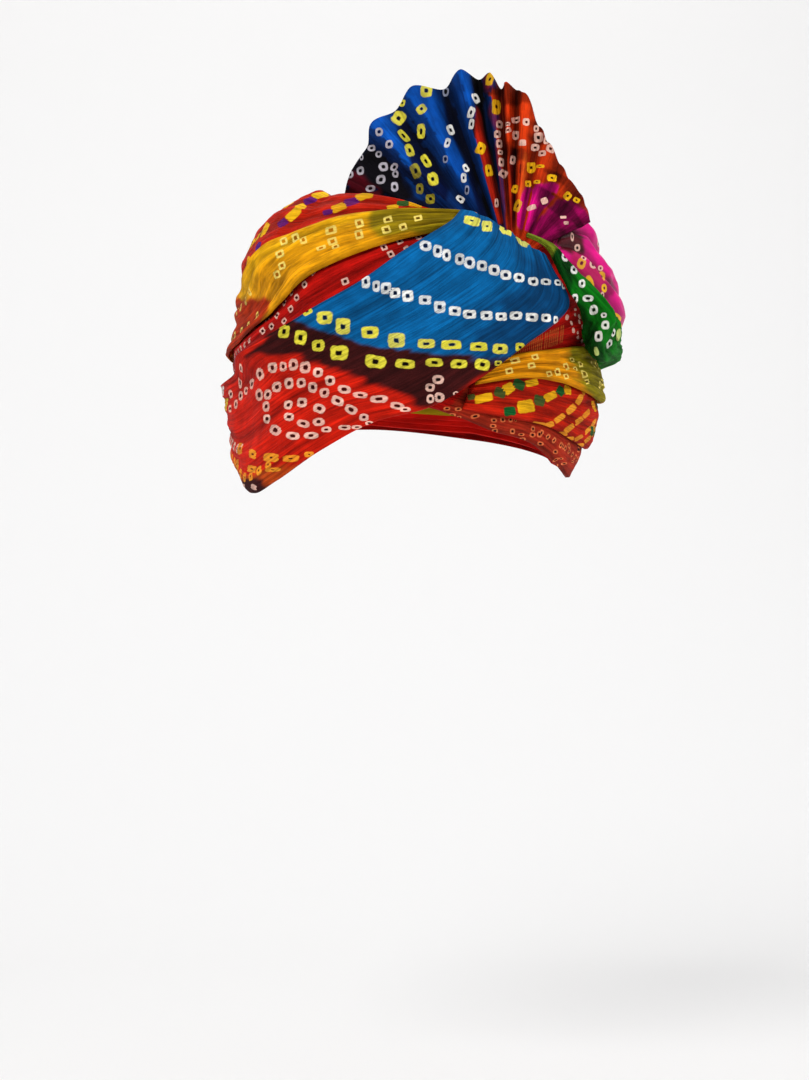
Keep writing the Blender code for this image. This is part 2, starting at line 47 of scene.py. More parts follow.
rimColumns = ("bearing", "edgeRise", "wellRise")
rimRows = [
    (-180, -11.0, 64.0), (-140, -15.0, 65.0), (-108, -23.0, 66.0), (-80, -29.0, 65.0),
    (-55, -27.5, 62.0), (-40, -22.0, 59.5), (-25, -14.5, 56.0), (-10, -10.0, 50.0),
    (2, -9.0, 44.0), (14, -13.0, 36.0), (30, -17.0, 26.0), (48, -23.0, 26.0),
    (66, -28.0, 42.0), (85, -28.0, 56.0), (110, -22.0, 62.0), (145, -14.5, 64.0),
    (180, -11.0, 64.0),
]
thinningColumns = ("aboveEdge", "rightShare", "leftShare")
thinningRows = [
    (-6, 0.30, 0.15), (0, 0.62, 0.45), (4, 0.88, 0.75), (10, 1.0, 0.95), (18, 1, 1), (120, 1, 1),
]

# The chart is the photograph's own frame, 809 by 1080, in which rings, dye, painted shade and painted
# light are placed
chart = {
    "width": 809, "height": 1080, "axisX": 401, "originY": 408,
    "metresPerPixel": 0.0006, "distance": 2.0, "azimuth": -10.0,
}


def directions(bearing, rise):
    b, r = np.radians(bearing), np.radians(rise)
    return np.stack([np.cos(r) * np.sin(b), -np.cos(r) * np.cos(b), np.sin(r)], axis=-1)


def pointsAt(bearing, rise, radius):
    centre = np.array([0.0, 0.0, head["centreHeight"]])
    return directions(bearing, rise) * np.asarray(radius)[..., None] + centre


def polarOf(points):
    flat = np.hypot(points[..., 0], points[..., 1])
    z = points[..., 2] - head["centreHeight"]
    bearing = np.degrees(np.arctan2(points[..., 0], -points[..., 1]))
    return bearing, np.degrees(np.arctan2(z, flat)), np.hypot(flat, z)


def formRadius(bearing, rise, left, right, front, back, top, planPower, sidePower):
    d = directions(bearing, rise)
    wide = np.where(d[..., 0] > 0, left, right)
    deep = np.where(d[..., 1] < 0, front, back)
    plan = (np.abs(d[..., 0]) / wide) ** planPower + (np.abs(d[..., 1]) / deep) ** planPower
    upward = np.clip(d[..., 2], 0, None) / top
    return (plan ** (sidePower / planPower) + upward**sidePower) ** (-1 / sidePower)


def headRadius(bearing, rise):
    wide, deep = head["halfWidth"], head["halfDepth"]
    top = head["crownHeight"] - head["centreHeight"]
    return formRadius(bearing, rise, wide, wide, deep, deep, top, 2.0, 2.0)


def tableValue(rows, columns, name, at, by):
    table = np.array(rows, float)
    return np.interp(at, table[:, columns.index(by)], table[:, columns.index(name)])


def rimValue(name, bearing):
    turned = (np.asarray(bearing, float) + 180) % 360 - 180
    return tableValue(rimRows, rimColumns, name, turned, "bearing")


def pileRadius(bearing, rise):
    p = pileForm
    full = formRadius(bearing, rise, p["left"], p["right"], p["front"], p["back"], p["top"],
                      p["planPower"], p["sidePower"])
    above = np.asarray(rise) - rimValue("edgeRise", bearing)
    right = tableValue(thinningRows, thinningColumns, "rightShare", above, "aboveEdge")
    left = tableValue(thinningRows, thinningColumns, "leftShare", above, "aboveEdge")
    share = right + (left - right) * (1 + np.sin(np.radians(bearing))) / 2
    inside = headRadius(bearing, rise) + p["crownWall"]
    return np.maximum(inside + (full - inside) * share, np.minimum(inside + p["rimWall"], full))


def smoothRows(rows, count):
    table = np.array(rows, float)  # evenly spaced places on a smooth curve through the rows
    last = len(table) - 1
    places = np.linspace(0, last, count)
    k = np.clip(np.floor(places).astype(int), 0, last - 1)
    t = (places - k)[:, None]
    before, start = table[np.clip(k - 1, 0, last)], table[k]
    end, after = table[k + 1], table[np.clip(k + 2, 0, last)]
    return 0.5 * (2 * start + (end - before) * t
                  + (2 * before - 5 * start + 4 * end - after) * t**2
                  + (3 * start - before - 3 * end + after) * t**3)


def chartAxes():
    azimuth = math.radians(chart["azimuth"])
    right = np.array([math.cos(azimuth), math.sin(azimuth), 0.0])
    towards = np.array([math.sin(azimuth), -math.cos(azimuth), 0.0])
    return right, np.array([0.0, 0.0, 1.0]), towards


# How far the chart's middle lies to the right of the turban's axis, and above its origin
def chartMiddle():
    scale = chart["metresPerPixel"]
    across = (chart["width"] / 2 - chart["axisX"]) * scale
    return across, (chart["originY"] - chart["height"] / 2) * scale


def chartOf(points):
    right, _, towards = chartAxes()
    across, eyeHeight = chartMiddle()
    near = chart["distance"] / (chart["distance"] - points @ towards) / chart["metresPerPixel"]
    x = chart["width"] / 2 + (points @ right - across) * near
    return x, chart["height"] / 2 - (points[..., 2] - eyeHeight) * near


# How far the cloth at each side leans in, by height, without moving the layer over the head
leanColumns = ("height", "inward")
leanRows = {
    "right": [(0.014, 0), (0.020, -0.004), (0.028, -0.0085), (0.036, -0.0065), (0.045, -0.0005),
              (0.052, 0.0055), (0.060, 0.0085), (0.068, 0.008), (0.077, 0.0035), (0.086, 0.001),
              (0.105, 0)],
    "left": [(0.018, 0), (0.025, 0.0035), (0.033, 0.004), (0.040, -0.002), (0.047, -0.006),
             (0.054, -0.005), (0.062, -0.001), (0.069, 0.002), (0.076, 0.005), (0.084, 0.006),
             (0.095, 0.004), (0.105, 0.0025), (0.113, 0)],
}
leanReach = {"right": (0.045, 0.095), "left": (0.065, 0.112)}


def leaned(points):
    right = chartAxes()[0]
    out = points @ right
    bearing, rise, radius = polarOf(points)
    over = headRadius(bearing, rise)
    weight = np.clip((radius - over) / (pileRadius(bearing, rise) - over + 1e-6), 0, 1)
    move = np.zeros(out.shape)
    for side, sign in (("right", -1), ("left", 1)):
        near, far = leanReach[side]
        inward = tableValue(leanRows[side], leanColumns, "inward", points[..., 2], "height")
        move = move - sign * softStep(near, far, sign * out) * inward
    return points + (weight * move)[..., None] * right


# Smooth noise over the cloth, the same on every run
def latticeValue(i, j, seed):
    mixed = np.sin(i * 127.1 + j * 311.7 + seed * 74.7) * 43758.5453
    return mixed - np.floor(mixed)


def clothNoise(x, y, seed):
    i, j = np.floor(x), np.floor(y)
    u, v = x - i, y - j
    u, v = u * u * (3 - 2 * u), v * v * (3 - 2 * v)
    low = latticeValue(i, j, seed) * (1 - u) + latticeValue(i + 1, j, seed) * u
    high = latticeValue(i, j + 1, seed) * (1 - u) + latticeValue(i + 1, j + 1, seed) * u
    return low * (1 - v) + high * v


def softStep(low, high, value):
    t = np.clip((value - low) / (high - low), 0, 1)
    return t * t * (3 - 2 * t)


class WoundPile:
    def __init__(self):
        step = pileForm["gridStep"]
        self.bearings = np.arange(0, 360, step)
        self.rises = np.arange(pileForm["lowest"], pileForm["highest"] + step, step)
        bearing, rise = np.meshgrid(self.bearings, self.rises, indexing="ij")
        self.reach = pileRadius(bearing, rise)

    def place(self, bearing, rise):
        step = pileForm["gridStep"]
        upward = (np.asarray(rise) - pileForm["lowest"]) / step
        return (np.asarray(bearing) % 360) / step, np.clip(upward, 0, len(self.rises) - 1.001)

    def cover(self, points):
        bearing, rise, radius = polarOf(points)
        across, upward = self.place(bearing, rise)
        i = np.round(across).astype(int) % len(self.bearings)
        np.maximum.at(self.reach, (i, np.round(upward).astype(int)), radius)

    def around(self, field, cells, combine):
        for axis in (0, 1):
            found = []
            for shift in range(-cells, cells + 1):
                moved = np.roll(field, shift, axis)
                if axis == 1 and shift > 0:
                    moved[:, :shift] = field[:, :1]
                if axis == 1 and shift < 0:
                    moved[:, shift:] = field[:, -1:]
                found.append(moved)
            field = combine(found, axis=0)
        return field

    def seat(self, bridge):
        cells = max(1, round(bridge / pileForm["gridStep"]))
        return self.around(self.around(self.reach, cells, np.max), cells, np.mean)

    def read(self, field, bearing, rise):
        across, upward = self.place(bearing, rise)
        i, j = np.floor(across).astype(int), np.floor(upward).astype(int)
        u, v = across - i, upward - j
        i, k = i % len(self.bearings), (i + 1) % len(self.bearings)
        low = field[i, j] * (1 - u) + field[k, j] * u
        return low * (1 - v) + (field[i, j + 1] * (1 - u) + field[k, j + 1] * u) * v


# Making the meshes
def gridFaces(stations, columns, start, ring, flip):
    i = np.arange(stations if ring else stations - 1)[:, None]
    j = np.arange(columns - 1)[None, :]
    here, there = i * columns + j + start, (i + 1) % stations * columns + j + start
    quads = np.stack([here, there, there + 1, here + 1], axis=-1).reshape(-1, 4)
    return quads[:, ::-1] if flip else quads


def edgeFaces(outerLine, innerLine, ring, flip):
    if ring:
        outerLine = np.append(outerLine, outerLine[0])
        innerLine = np.append(innerLine, innerLine[0])
    quads = np.stack([outerLine[:-1], innerLine[:-1], innerLine[1:], outerLine[1:]], axis=-1)
    return quads[:, ::-1] if flip else quads


def makeMesh(name, points, quads):
    mesh = bpy.data.meshes.new(name)
    mesh.vertices.add(len(points))
    mesh.vertices.foreach_set("co", points.astype(np.float32).ravel())
    mesh.loops.add(quads.size)
    mesh.loops.foreach_set("vertex_index", quads.astype(np.int32).ravel())
    mesh.polygons.add(len(quads))
    mesh.polygons.foreach_set("loop_start", np.arange(0, quads.size, 4, dtype=np.int32))
    mesh.polygons.foreach_set("use_smooth", np.ones(len(quads), bool))
    mesh.update(calc_edges=True)
    piece = bpy.data.objects.new(name, mesh)
    bpy.context.scene.collection.objects.link(piece)
    return piece


def cornersOf(mesh):
    corners = np.empty(len(mesh.loops), np.int32)
    mesh.loops.foreach_get("vertex_index", corners)
    return corners


def pointsOf(mesh):
    points = np.empty(len(mesh.vertices) * 3, np.float32)
    mesh.vertices.foreach_get("co", points)
    return points.reshape(-1, 3).astype(float)


def makeShell(name, outer, inner, ring=False):
    stations, columns = outer.shape[:2]
    size = stations * columns
    middle = outer[stations // 2, columns // 2]
    along = outer[stations // 2 + 1, columns // 2] - middle
    across = outer[stations // 2, columns // 2 + 1] - middle
    flip = np.dot(np.cross(along, across), middle - inner[stations // 2, columns // 2]) < 0
    number = np.arange(size).reshape(stations, columns)
    parts = [gridFaces(stations, columns, 0, ring, flip),
             gridFaces(stations, columns, size, ring, not flip),
             edgeFaces(number[:, 0], number[:, 0] + size, ring, flip),
             edgeFaces(number[:, -1], number[:, -1] + size, ring, not flip)]
    if not ring:
        parts += [edgeFaces(number[0], number[0] + size, False, not flip),
                  edgeFaces(number[-1], number[-1] + size, False, flip)]
    points = np.concatenate([outer.reshape(-1, 3), inner.reshape(-1, 3)])
    return makeMesh(name, points, np.concatenate(parts))


def setUv(mesh, name, values):
    layer = mesh.uv_layers.new(name=name)
    layer.data.foreach_set("uv", values.astype(np.float32).ravel())


def setColor(mesh, name, domain, values):
    attribute = mesh.color_attributes.new(name, "FLOAT_COLOR", domain)
    full = np.concatenate([values, np.ones((len(values), 1))], axis=1)
    attribute.data.foreach_set("color", full.astype(np.float32).ravel())


# Dyes of the tied spots
dyes = {
    "white": (0.88, 0.86, 0.80), "pinkWhite": (0.90, 0.55, 0.44), "yellow": (0.82, 0.72, 0.05),
    "lemon": (0.86, 0.80, 0.12), "olive": (0.38, 0.33, 0.02), "gold": (0.92, 0.50, 0.008),
    "amber": (0.90, 0.33, 0.02), "coral": (0.82, 0.19, 0.06), "purple": (0.075, 0.006, 0.18),
    "green": (0.003, 0.11, 0.022), "paleGold": (0.95, 0.74, 0.16), "dimWhite": (0.30, 0.32, 0.42),
    "grayWhite": (0.50, 0.47, 0.52), "stripe": (0.50, 0.10, 0.02), "paleGreen": (0.55, 0.66, 0.20),
}


def chainSpots(points, count):
    table = smoothRows(points, 60)
    reach = np.concatenate([[0], np.cumsum(np.hypot(*np.diff(table, axis=0).T))])
    places = np.linspace(0, reach[-1], count)
    return list(zip(np.interp(places, reach, table[:, 0]), np.interp(places, reach, table[:, 1])))


# How far each point of the grid faces the chart's viewpoint, 1 when square to it
def facing(grid, outward):
    normal = np.cross(np.gradient(grid, axis=0), np.gradient(grid, axis=1))
    normal = normal * np.sign((normal * outward).sum(-1))[..., None]
    normal = normal / (np.linalg.norm(normal, axis=-1, keepdims=True) + 1e-12)
    return normal @ chartAxes()[2]


def fromPile(grid):
    return grid - np.array([0, 0, head["centreHeight"]])


# Tied spots, each with its place, two scaled directions across it, its tint and its style:
# the share of its size that the dark heart takes, how square it is, and a number of its own
class TiedSpots:
    def __init__(self):
        self.places, self.across, self.up, self.tints, self.styles = [], [], [], [], []

    def add(self, place, across, up, spots):
        self.places.append(place)
        self.across.append(across)
        self.up.append(up)
        self.tints.append(dyes[spots["tint"]])
        own = latticeValue(len(self.places), 5.0, 3.0)
        self.styles.append((spots["heart"], spots["square"], own))

    def addCharted(self, grid, seen, spots):
        x, y, towardsEye = seen
        right, upward, _ = chartAxes()
        listed = spots.get("spots") or chainSpots(spots["chain"], spots["count"])
        for spot in listed:
            far = np.hypot(x - spot[0], y - spot[1]) + np.where(towardsEye > 0, 0, 1e3)
            i, j = np.unravel_index(np.argmin(far), far.shape)
            if far[i, j] > 5:
                continue
            wide, high = spot[2:4] if len(spot) > 3 else spots["half"]
            turn = math.radians(spot[4] if len(spot) > 4 else spots.get("turn", 0))
            across = (right * math.cos(turn) + upward * math.sin(turn)) / wide
            up = (upward * math.cos(turn) - right * math.sin(turn)) / high
            scale = chart["metresPerPixel"]
            self.add(grid[i, j], across / scale, up / scale, spots)

    def addAlong(self, grid, spots):
        i = np.arange(int(spots["from"] * (len(grid) - 1)), int(spots["to"] * (len(grid) - 1)))
        j = min(max(int(spots["share"] * (grid.shape[1] - 1)), 1), grid.shape[1] - 2)
        reach = np.linalg.norm(np.diff(grid[i, j], axis=0), axis=1)
        reach = np.concatenate([[0], np.cumsum(reach)])
        for place in np.arange(spots["spacing"] / 2, reach[-1], spots["spacing"]):
            k = min(max(int(np.interp(place, reach, i)), 1), len(grid) - 2)
            length = grid[k + 1, j] - grid[k - 1, j]
            width = grid[k, j + 1] - grid[k, j - 1]
            length = length / np.linalg.norm(length)
            width = width - length * np.dot(width, length)
            width = width / np.linalg.norm(width)
            wide, high = spots["half"]
            scale = chart["metresPerPixel"]
            self.add(grid[k, j], length / wide / scale, width / high / scale, spots)


def spotsOn(grid, look, outward):
    found = TiedSpots()
    x, y = chartOf(grid)
    seen = (x, y, facing(grid, outward))
    for spots in look["charted"]:
        found.addCharted(grid, seen, spots)
    for spots in look["alongCloth"]:
        found.addAlong(grid, spots)
    return found


# Each face corner is given its place in the nearest tied spot, 1 at the outer edge of the spot
spotDrawing = {"squaredReach": 3.2, "sphere": 1.6, "outside": 9.0}


def drawSpots(piece, tied):
    mesh = piece.data
    points, corners = pointsOf(mesh), cornersOf(mesh).reshape(-1, 4)
    centres = points[corners].mean(axis=1)
    best = np.full(len(centres), spotDrawing["squaredReach"])
    spot = np.full((len(corners), 4, 2), spotDrawing["outside"])
    tint = np.zeros((len(corners), 4, 3))
    style = np.zeros((len(corners), 4, 3))
    for place, across, up, color, own in zip(tied.places, tied.across, tied.up, tied.tints,
                                             tied.styles):
        limit = spotDrawing["sphere"] / min(np.linalg.norm(across), np.linalg.norm(up))
        near = np.flatnonzero(((centres - place) ** 2).sum(axis=1) < limit**2)
        offset = centres[near] - place
        far = (offset @ across) ** 2 + (offset @ up) ** 2
        closer = near[far < best[near]]
        best[closer] = far[far < best[near]]
        offset = points[corners[closer]] - place
        spot[closer] = np.stack([offset @ across, offset @ up], axis=-1)
        tint[closer], style[closer] = color, own
    setUv(mesh, "spotPlace", spot.reshape(-1, 2))
    setColor(mesh, "spotTint", "CORNER", tint.reshape(-1, 3))
    setColor(mesh, "spotStyle", "CORNER", style.reshape(-1, 3))


# Each tied spot lifts the cloth, with a dimple where the thread was
pucker = {"lift": 0.16, "widest": 0.004, "bulge": 0.9, "dimple": 0.33, "dimpleShare": 1.1,
          "nearby": 0.014, "reach": 2.5}


def puckers(grid, tied):
    lift = np.zeros(grid.shape[:2])
    for place, across, up, style in zip(tied.places, tied.across, tied.up, tied.styles):
        offset = grid - place
        near = np.sqrt((offset @ across) ** 2 + (offset @ up) ** 2)
        near = np.where((np.abs(offset) < pucker["nearby"]).all(axis=-1), near, 2 * pucker["reach"])
        size = min(2 / (np.linalg.norm(across) + np.linalg.norm(up)), pucker["widest"])
        dimple = pucker["dimpleShare"] * (style[0] > 0) * np.exp(-((near / pucker["dimple"]) ** 2))
        bulge = np.exp(-((near / pucker["bulge"]) ** 2)) - dimple
        lift = np.where(near < pucker["reach"], lift + pucker["lift"] * size * bulge, lift)
    return lift


# Making the finishes
def newGroup(name, inputs, outputs):
    group = bpy.data.node_groups.new(name, "ShaderNodeTree")
    for label, kind, value in inputs:
        socket = group.interface.new_socket(name=label, in_out="INPUT", socket_type=kind)
        if value is not None:
            socket.default_value = value
    for label, kind in outputs:
        group.interface.new_socket(name=label, in_out="OUTPUT", socket_type=kind)
    return group, group.nodes.new("NodeGroupInput"), group.nodes.new("NodeGroupOutput")


def mathNode(tree, operation, first, second=None, third=None):
    node = tree.nodes.new("ShaderNodeMath")
    node.operation = operation
    for socket, value in zip(node.inputs, (first, second, third)):
        if value is None:
            continue
        if isinstance(value, (int, float)):
            socket.default_value = value
        else:
            tree.links.new(value, socket)
    return node.outputs[0]


def rangeNode(tree, value, low, high, toLow=0.0, toHigh=1.0):
    node = tree.nodes.new("ShaderNodeMapRange")
    node.interpolation_type = "SMOOTHSTEP"
    node.inputs["From Min"].default_value = low
    node.inputs["From Max"].default_value = high
    node.inputs["To Min"].default_value = toLow
    node.inputs["To Max"].default_value = toHigh
    tree.links.new(value, node.inputs["Value"])
    return node.outputs[0]


def noiseNode(tree, where, scale, detail, distortion=0.0):
    node = tree.nodes.new("ShaderNodeTexNoise")
    node.inputs["Scale"].default_value = scale
    node.inputs["Detail"].default_value = detail
    node.inputs["Distortion"].default_value = distortion
    tree.links.new(where, node.inputs["Vector"])
    return node


def colorLayer(tree, name):
    node = tree.nodes.new("ShaderNodeVertexColor")
    node.layer_name = name
    return node.outputs[0]


def uvLayer(tree, name):
    node = tree.nodes.new("ShaderNodeUVMap")
    node.uv_map = name
    return node.outputs[0]


def mixColor(tree, kind, factor, first, second):
    node = tree.nodes.new("ShaderNodeMix")
    node.data_type = "RGBA"
    node.blend_type = kind
    for socket, value in ((node.inputs[0], factor), (node.inputs[6], first), (node.inputs[7], second)):
        if isinstance(value, (int, float)):
            socket.default_value = value
        elif isinstance(value, tuple):
            socket.default_value = (*value, 1.0)
        else:
            tree.links.new(value, socket)
    return node.outputs[2]


# A spot left pale by a tied thread, its outline a little crooked, its heart dyed dark
def makeTiedSpotGroup():
    group, inputs, outputs = newGroup(
        "tiedSpot",
        [("Place", "NodeSocketVector", None), ("Style", "NodeSocketColor", None),
         ("Crookedness", "NodeSocketFloat", 0.42)],
        [("Spot", "NodeSocketFloat"), ("Heart", "NodeSocketFloat"), ("Own", "NodeSocketFloat")])
    where = group.nodes.new("ShaderNodeTexCoord").outputs["Object"]
    noise = noiseNode(group, where, 260.0, 2.0)
    centred = group.nodes.new("ShaderNodeVectorMath")
    centred.operation = "SUBTRACT"
    centred.inputs[1].default_value = (0.5, 0.5, 0.5)
    group.links.new(noise.outputs["Color"], centred.inputs[0])
    scaled = group.nodes.new("ShaderNodeVectorMath")
    scaled.operation = "SCALE"
    group.links.new(centred.outputs[0], scaled.inputs[0])
    group.links.new(inputs.outputs["Crookedness"], scaled.inputs["Scale"])
    bent = group.nodes.new("ShaderNodeVectorMath")
    group.links.new(inputs.outputs["Place"], bent.inputs[0])
    group.links.new(scaled.outputs[0], bent.inputs[1])
    axes = group.nodes.new("ShaderNodeSeparateXYZ")
    group.links.new(bent.outputs[0], axes.inputs[0])
    x = mathNode(group, "ABSOLUTE", axes.outputs[0])
    y = mathNode(group, "ABSOLUTE", axes.outputs[1])
    style = group.nodes.new("ShaderNodeSeparateColor")
    group.links.new(inputs.outputs["Style"], style.inputs[0])
    power = rangeNode(group, style.outputs[1], 0.0, 1.0, 2.2, 7.0)
    total = mathNode(group, "ADD", mathNode(group, "POWER", x, power), mathNode(group, "POWER", y, power))
    reach = mathNode(group, "POWER", total, mathNode(group, "DIVIDE", 1.0, power))
    inside = rangeNode(group, reach, 0.82, 0.98, 1.0, 0.0)
    fromHeart = mathNode(group, "SUBTRACT", reach, style.outputs[0])
    heart = rangeNode(group, fromHeart, -0.09, 0.09, 1.0, 0.0)
    heart = mathNode(group, "MULTIPLY", heart, mathNode(group, "GREATER_THAN", style.outputs[0], 0.05))
    spot = mathNode(group, "MULTIPLY", inside, mathNode(group, "SUBTRACT", 1.0, heart))
    group.links.new(spot, outputs.inputs["Spot"])
    group.links.new(heart, outputs.inputs["Heart"])
    group.links.new(style.outputs[2], outputs.inputs["Own"])
    return group


# Fine crinkles along the cloth, and the dye's unevenness; the Shade output is painted shade, darker in the
# crinkles' hollows and lighter on their ridges, mixed with the dye's blotches
def makeCrinkleGroup():
    group, inputs, outputs = newGroup(
        "crinkledCloth",
        [("Cloth", "NodeSocketVector", None), ("Spacing", "NodeSocketFloat", 0.0016),
         ("Length", "NodeSocketFloat", 0.022)],
        [("Height", "NodeSocketFloat"), ("Shade", "NodeSocketFloat"), ("Weave", "NodeSocketFloat")])
    axes = group.nodes.new("ShaderNodeSeparateXYZ")
    group.links.new(inputs.outputs["Cloth"], axes.inputs[0])
    stretched = group.nodes.new("ShaderNodeCombineXYZ")
    lengthwise = mathNode(group, "DIVIDE", axes.outputs[0], inputs.outputs["Length"])
    crosswise = mathNode(group, "DIVIDE", axes.outputs[1], inputs.outputs["Spacing"])
    group.links.new(lengthwise, stretched.inputs[0])
    group.links.new(crosswise, stretched.inputs[1])
    noise = noiseNode(group, stretched.outputs[0], 1.0, 3.0, 0.6).outputs[0]
    where = group.nodes.new("ShaderNodeTexCoord").outputs["Object"]
    blotch = noiseNode(group, where, 90.0, 4.0).outputs[0]
    threads = noiseNode(group, where, 1500.0, 1.0).outputs[0]
    height = mathNode(group, "ADD", noise, mathNode(group, "MULTIPLY", threads, 0.25))
    group.links.new(height, outputs.inputs["Height"])
    # Painted shade from the crinkles' height, with the dye's blotches added
    shade = mathNode(group, "ADD", mathNode(group, "MULTIPLY", noise, 0.9),
                     mathNode(group, "MULTIPLY", blotch, 0.5))
    group.links.new(rangeNode(group, shade, 0.42, 0.98, 0.42, 1.24), outputs.inputs["Shade"])
    group.links.new(threads, outputs.inputs["Weave"])
    return group


tiedSpot = makeTiedSpotGroup()
crinkledCloth = makeCrinkleGroup()


def clothMaterial(name, look):
    material = bpy.data.materials.new(name)
    material.use_nodes = True
    tree = material.node_tree
    shader = tree.nodes["Principled BSDF"]
    ground, tint, style = [colorLayer(tree, layer) for layer in ("ground", "spotTint", "spotStyle")]
    spot = tree.nodes.new("ShaderNodeGroup")
    spot.node_tree = tiedSpot
    tree.links.new(uvLayer(tree, "spotPlace"), spot.inputs["Place"])
    tree.links.new(style, spot.inputs["Style"])
    crinkle = tree.nodes.new("ShaderNodeGroup")
    crinkle.node_tree = crinkledCloth
    crinkle.inputs["Spacing"].default_value = look["spacing"]
    crinkle.inputs["Length"].default_value = look["length"]
    tree.links.new(uvLayer(tree, "cloth"), crinkle.inputs["Cloth"])
    dark = mixColor(tree, "MULTIPLY", 1.0, ground, look["heart"])
    dyed = mixColor(tree, "MIX", spot.outputs["Heart"], ground, dark)
    faded = rangeNode(tree, spot.outputs["Own"], 0.0, 1.0, 0.80, 1.0)
    shown = mathNode(tree, "MULTIPLY", spot.outputs["Spot"], faded)
    dyed = mixColor(tree, "MIX", shown, dyed, tint)
    # The base colour takes the crinkles' painted shade and the dye's blotches
    shaded = mixColor(tree, "MULTIPLY", look["contrast"], dyed, crinkle.outputs["Shade"])
    tree.links.new(shaded, shader.inputs["Base Color"])
    bump = tree.nodes.new("ShaderNodeBump")
    bump.inputs["Strength"].default_value = 1.0
    bump.inputs["Distance"].default_value = look["bump"]
    tree.links.new(crinkle.outputs["Height"], bump.inputs["Height"])
    tree.links.new(bump.outputs[0], shader.inputs["Normal"])
    smoothest, roughest = look["roughness"] - 0.08, look["roughness"] + 0.08
    rough = rangeNode(tree, crinkle.outputs["Weave"], 0.2, 0.8, smoothest, roughest)
    tree.links.new(rough, shader.inputs["Roughness"])
    shader.inputs["Specular IOR Level"].default_value = look["specular"]
    return material


def finer(grid):
    for axis in (0, 1):
        grid = np.swapaxes(grid, 0, axis)
        between = np.empty((2 * len(grid) - 1, *grid.shape[1:]))
        between[::2] = grid
        between[1::2] = (grid[1:] + grid[:-1]) / 2
        grid = np.swapaxes(between, 0, axis)
    return grid


def clothCoordinates(grid, shares):
    middle = grid[:, grid.shape[1] // 2]
    reach = np.concatenate([[0], np.cumsum(np.linalg.norm(np.diff(middle, axis=0), axis=1))])
    widths = np.linalg.norm(np.diff(grid, axis=1), axis=2).sum(axis=1)
    lengthwise = np.repeat(reach[:, None], len(shares), axis=1)
    return lengthwise, np.repeat(shares[None] * widths.mean(), len(reach), axis=0), widths


# Fine gathers along the cloth, sharp ridges with soft hollows between
gatherForm = {"wander": 0.9, "wanderLength": 0.05, "wanderWidth": 0.02, "ridge": 0.75,
              "sharpness": 1.5, "second": 0.35, "secondFiner": (2.3, 2.2)}


def gatherHeight(lengthwise, crosswise, gather, seed):
    f = gatherForm
    wander = f["wander"] * clothNoise(lengthwise / f["wanderLength"], crosswise / f["wanderWidth"],
                                      seed + 9)
    u, v = lengthwise / gather["length"], crosswise / gather["spacing"]
    first = clothNoise(u, v + wander, seed)
    second = clothNoise(u * f["secondFiner"][0], v * f["secondFiner"][1], seed + 4)
    ridge = 1 - np.abs(2 * first - 1)
    return gather["height"] * (f["ridge"] * ridge ** f["sharpness"] + f["second"] * second)


# Broader folds that wander across the cloth and swell and fade along it
foldForm = {"wander": 0.022, "wanderWaves": 23, "ripple": 0.012, "rippleWaves": 51, "least": 0.75,
            "swell": 0.25, "roundness": 0.8}


def foldHeight(wrap, places, shares, seed):
    f = foldForm
    along = places[:, None]
    wobble = f["wander"] * np.sin(along * f["wanderWaves"] + seed)
    wobble = wobble + f["ripple"] * np.sin(along * f["rippleWaves"])
    seen = shares[None] + wobble * np.sin(math.pi * shares)[None]
    folds = np.zeros((len(places), len(shares)))
    for number in range(wrap["folds"]):
        middle = (number + 0.5) / wrap["folds"]
        strength = f["least"] + f["swell"] * np.sin(2.1 * number + along * (7 + 2 * number))
        nearness = np.clip(1 - np.abs(seen - middle) * 2 * wrap["folds"], 0, 1)
        folds += strength * softStep(0, 1, nearness) ** f["roundness"]
    return wrap["foldDepth"] * folds


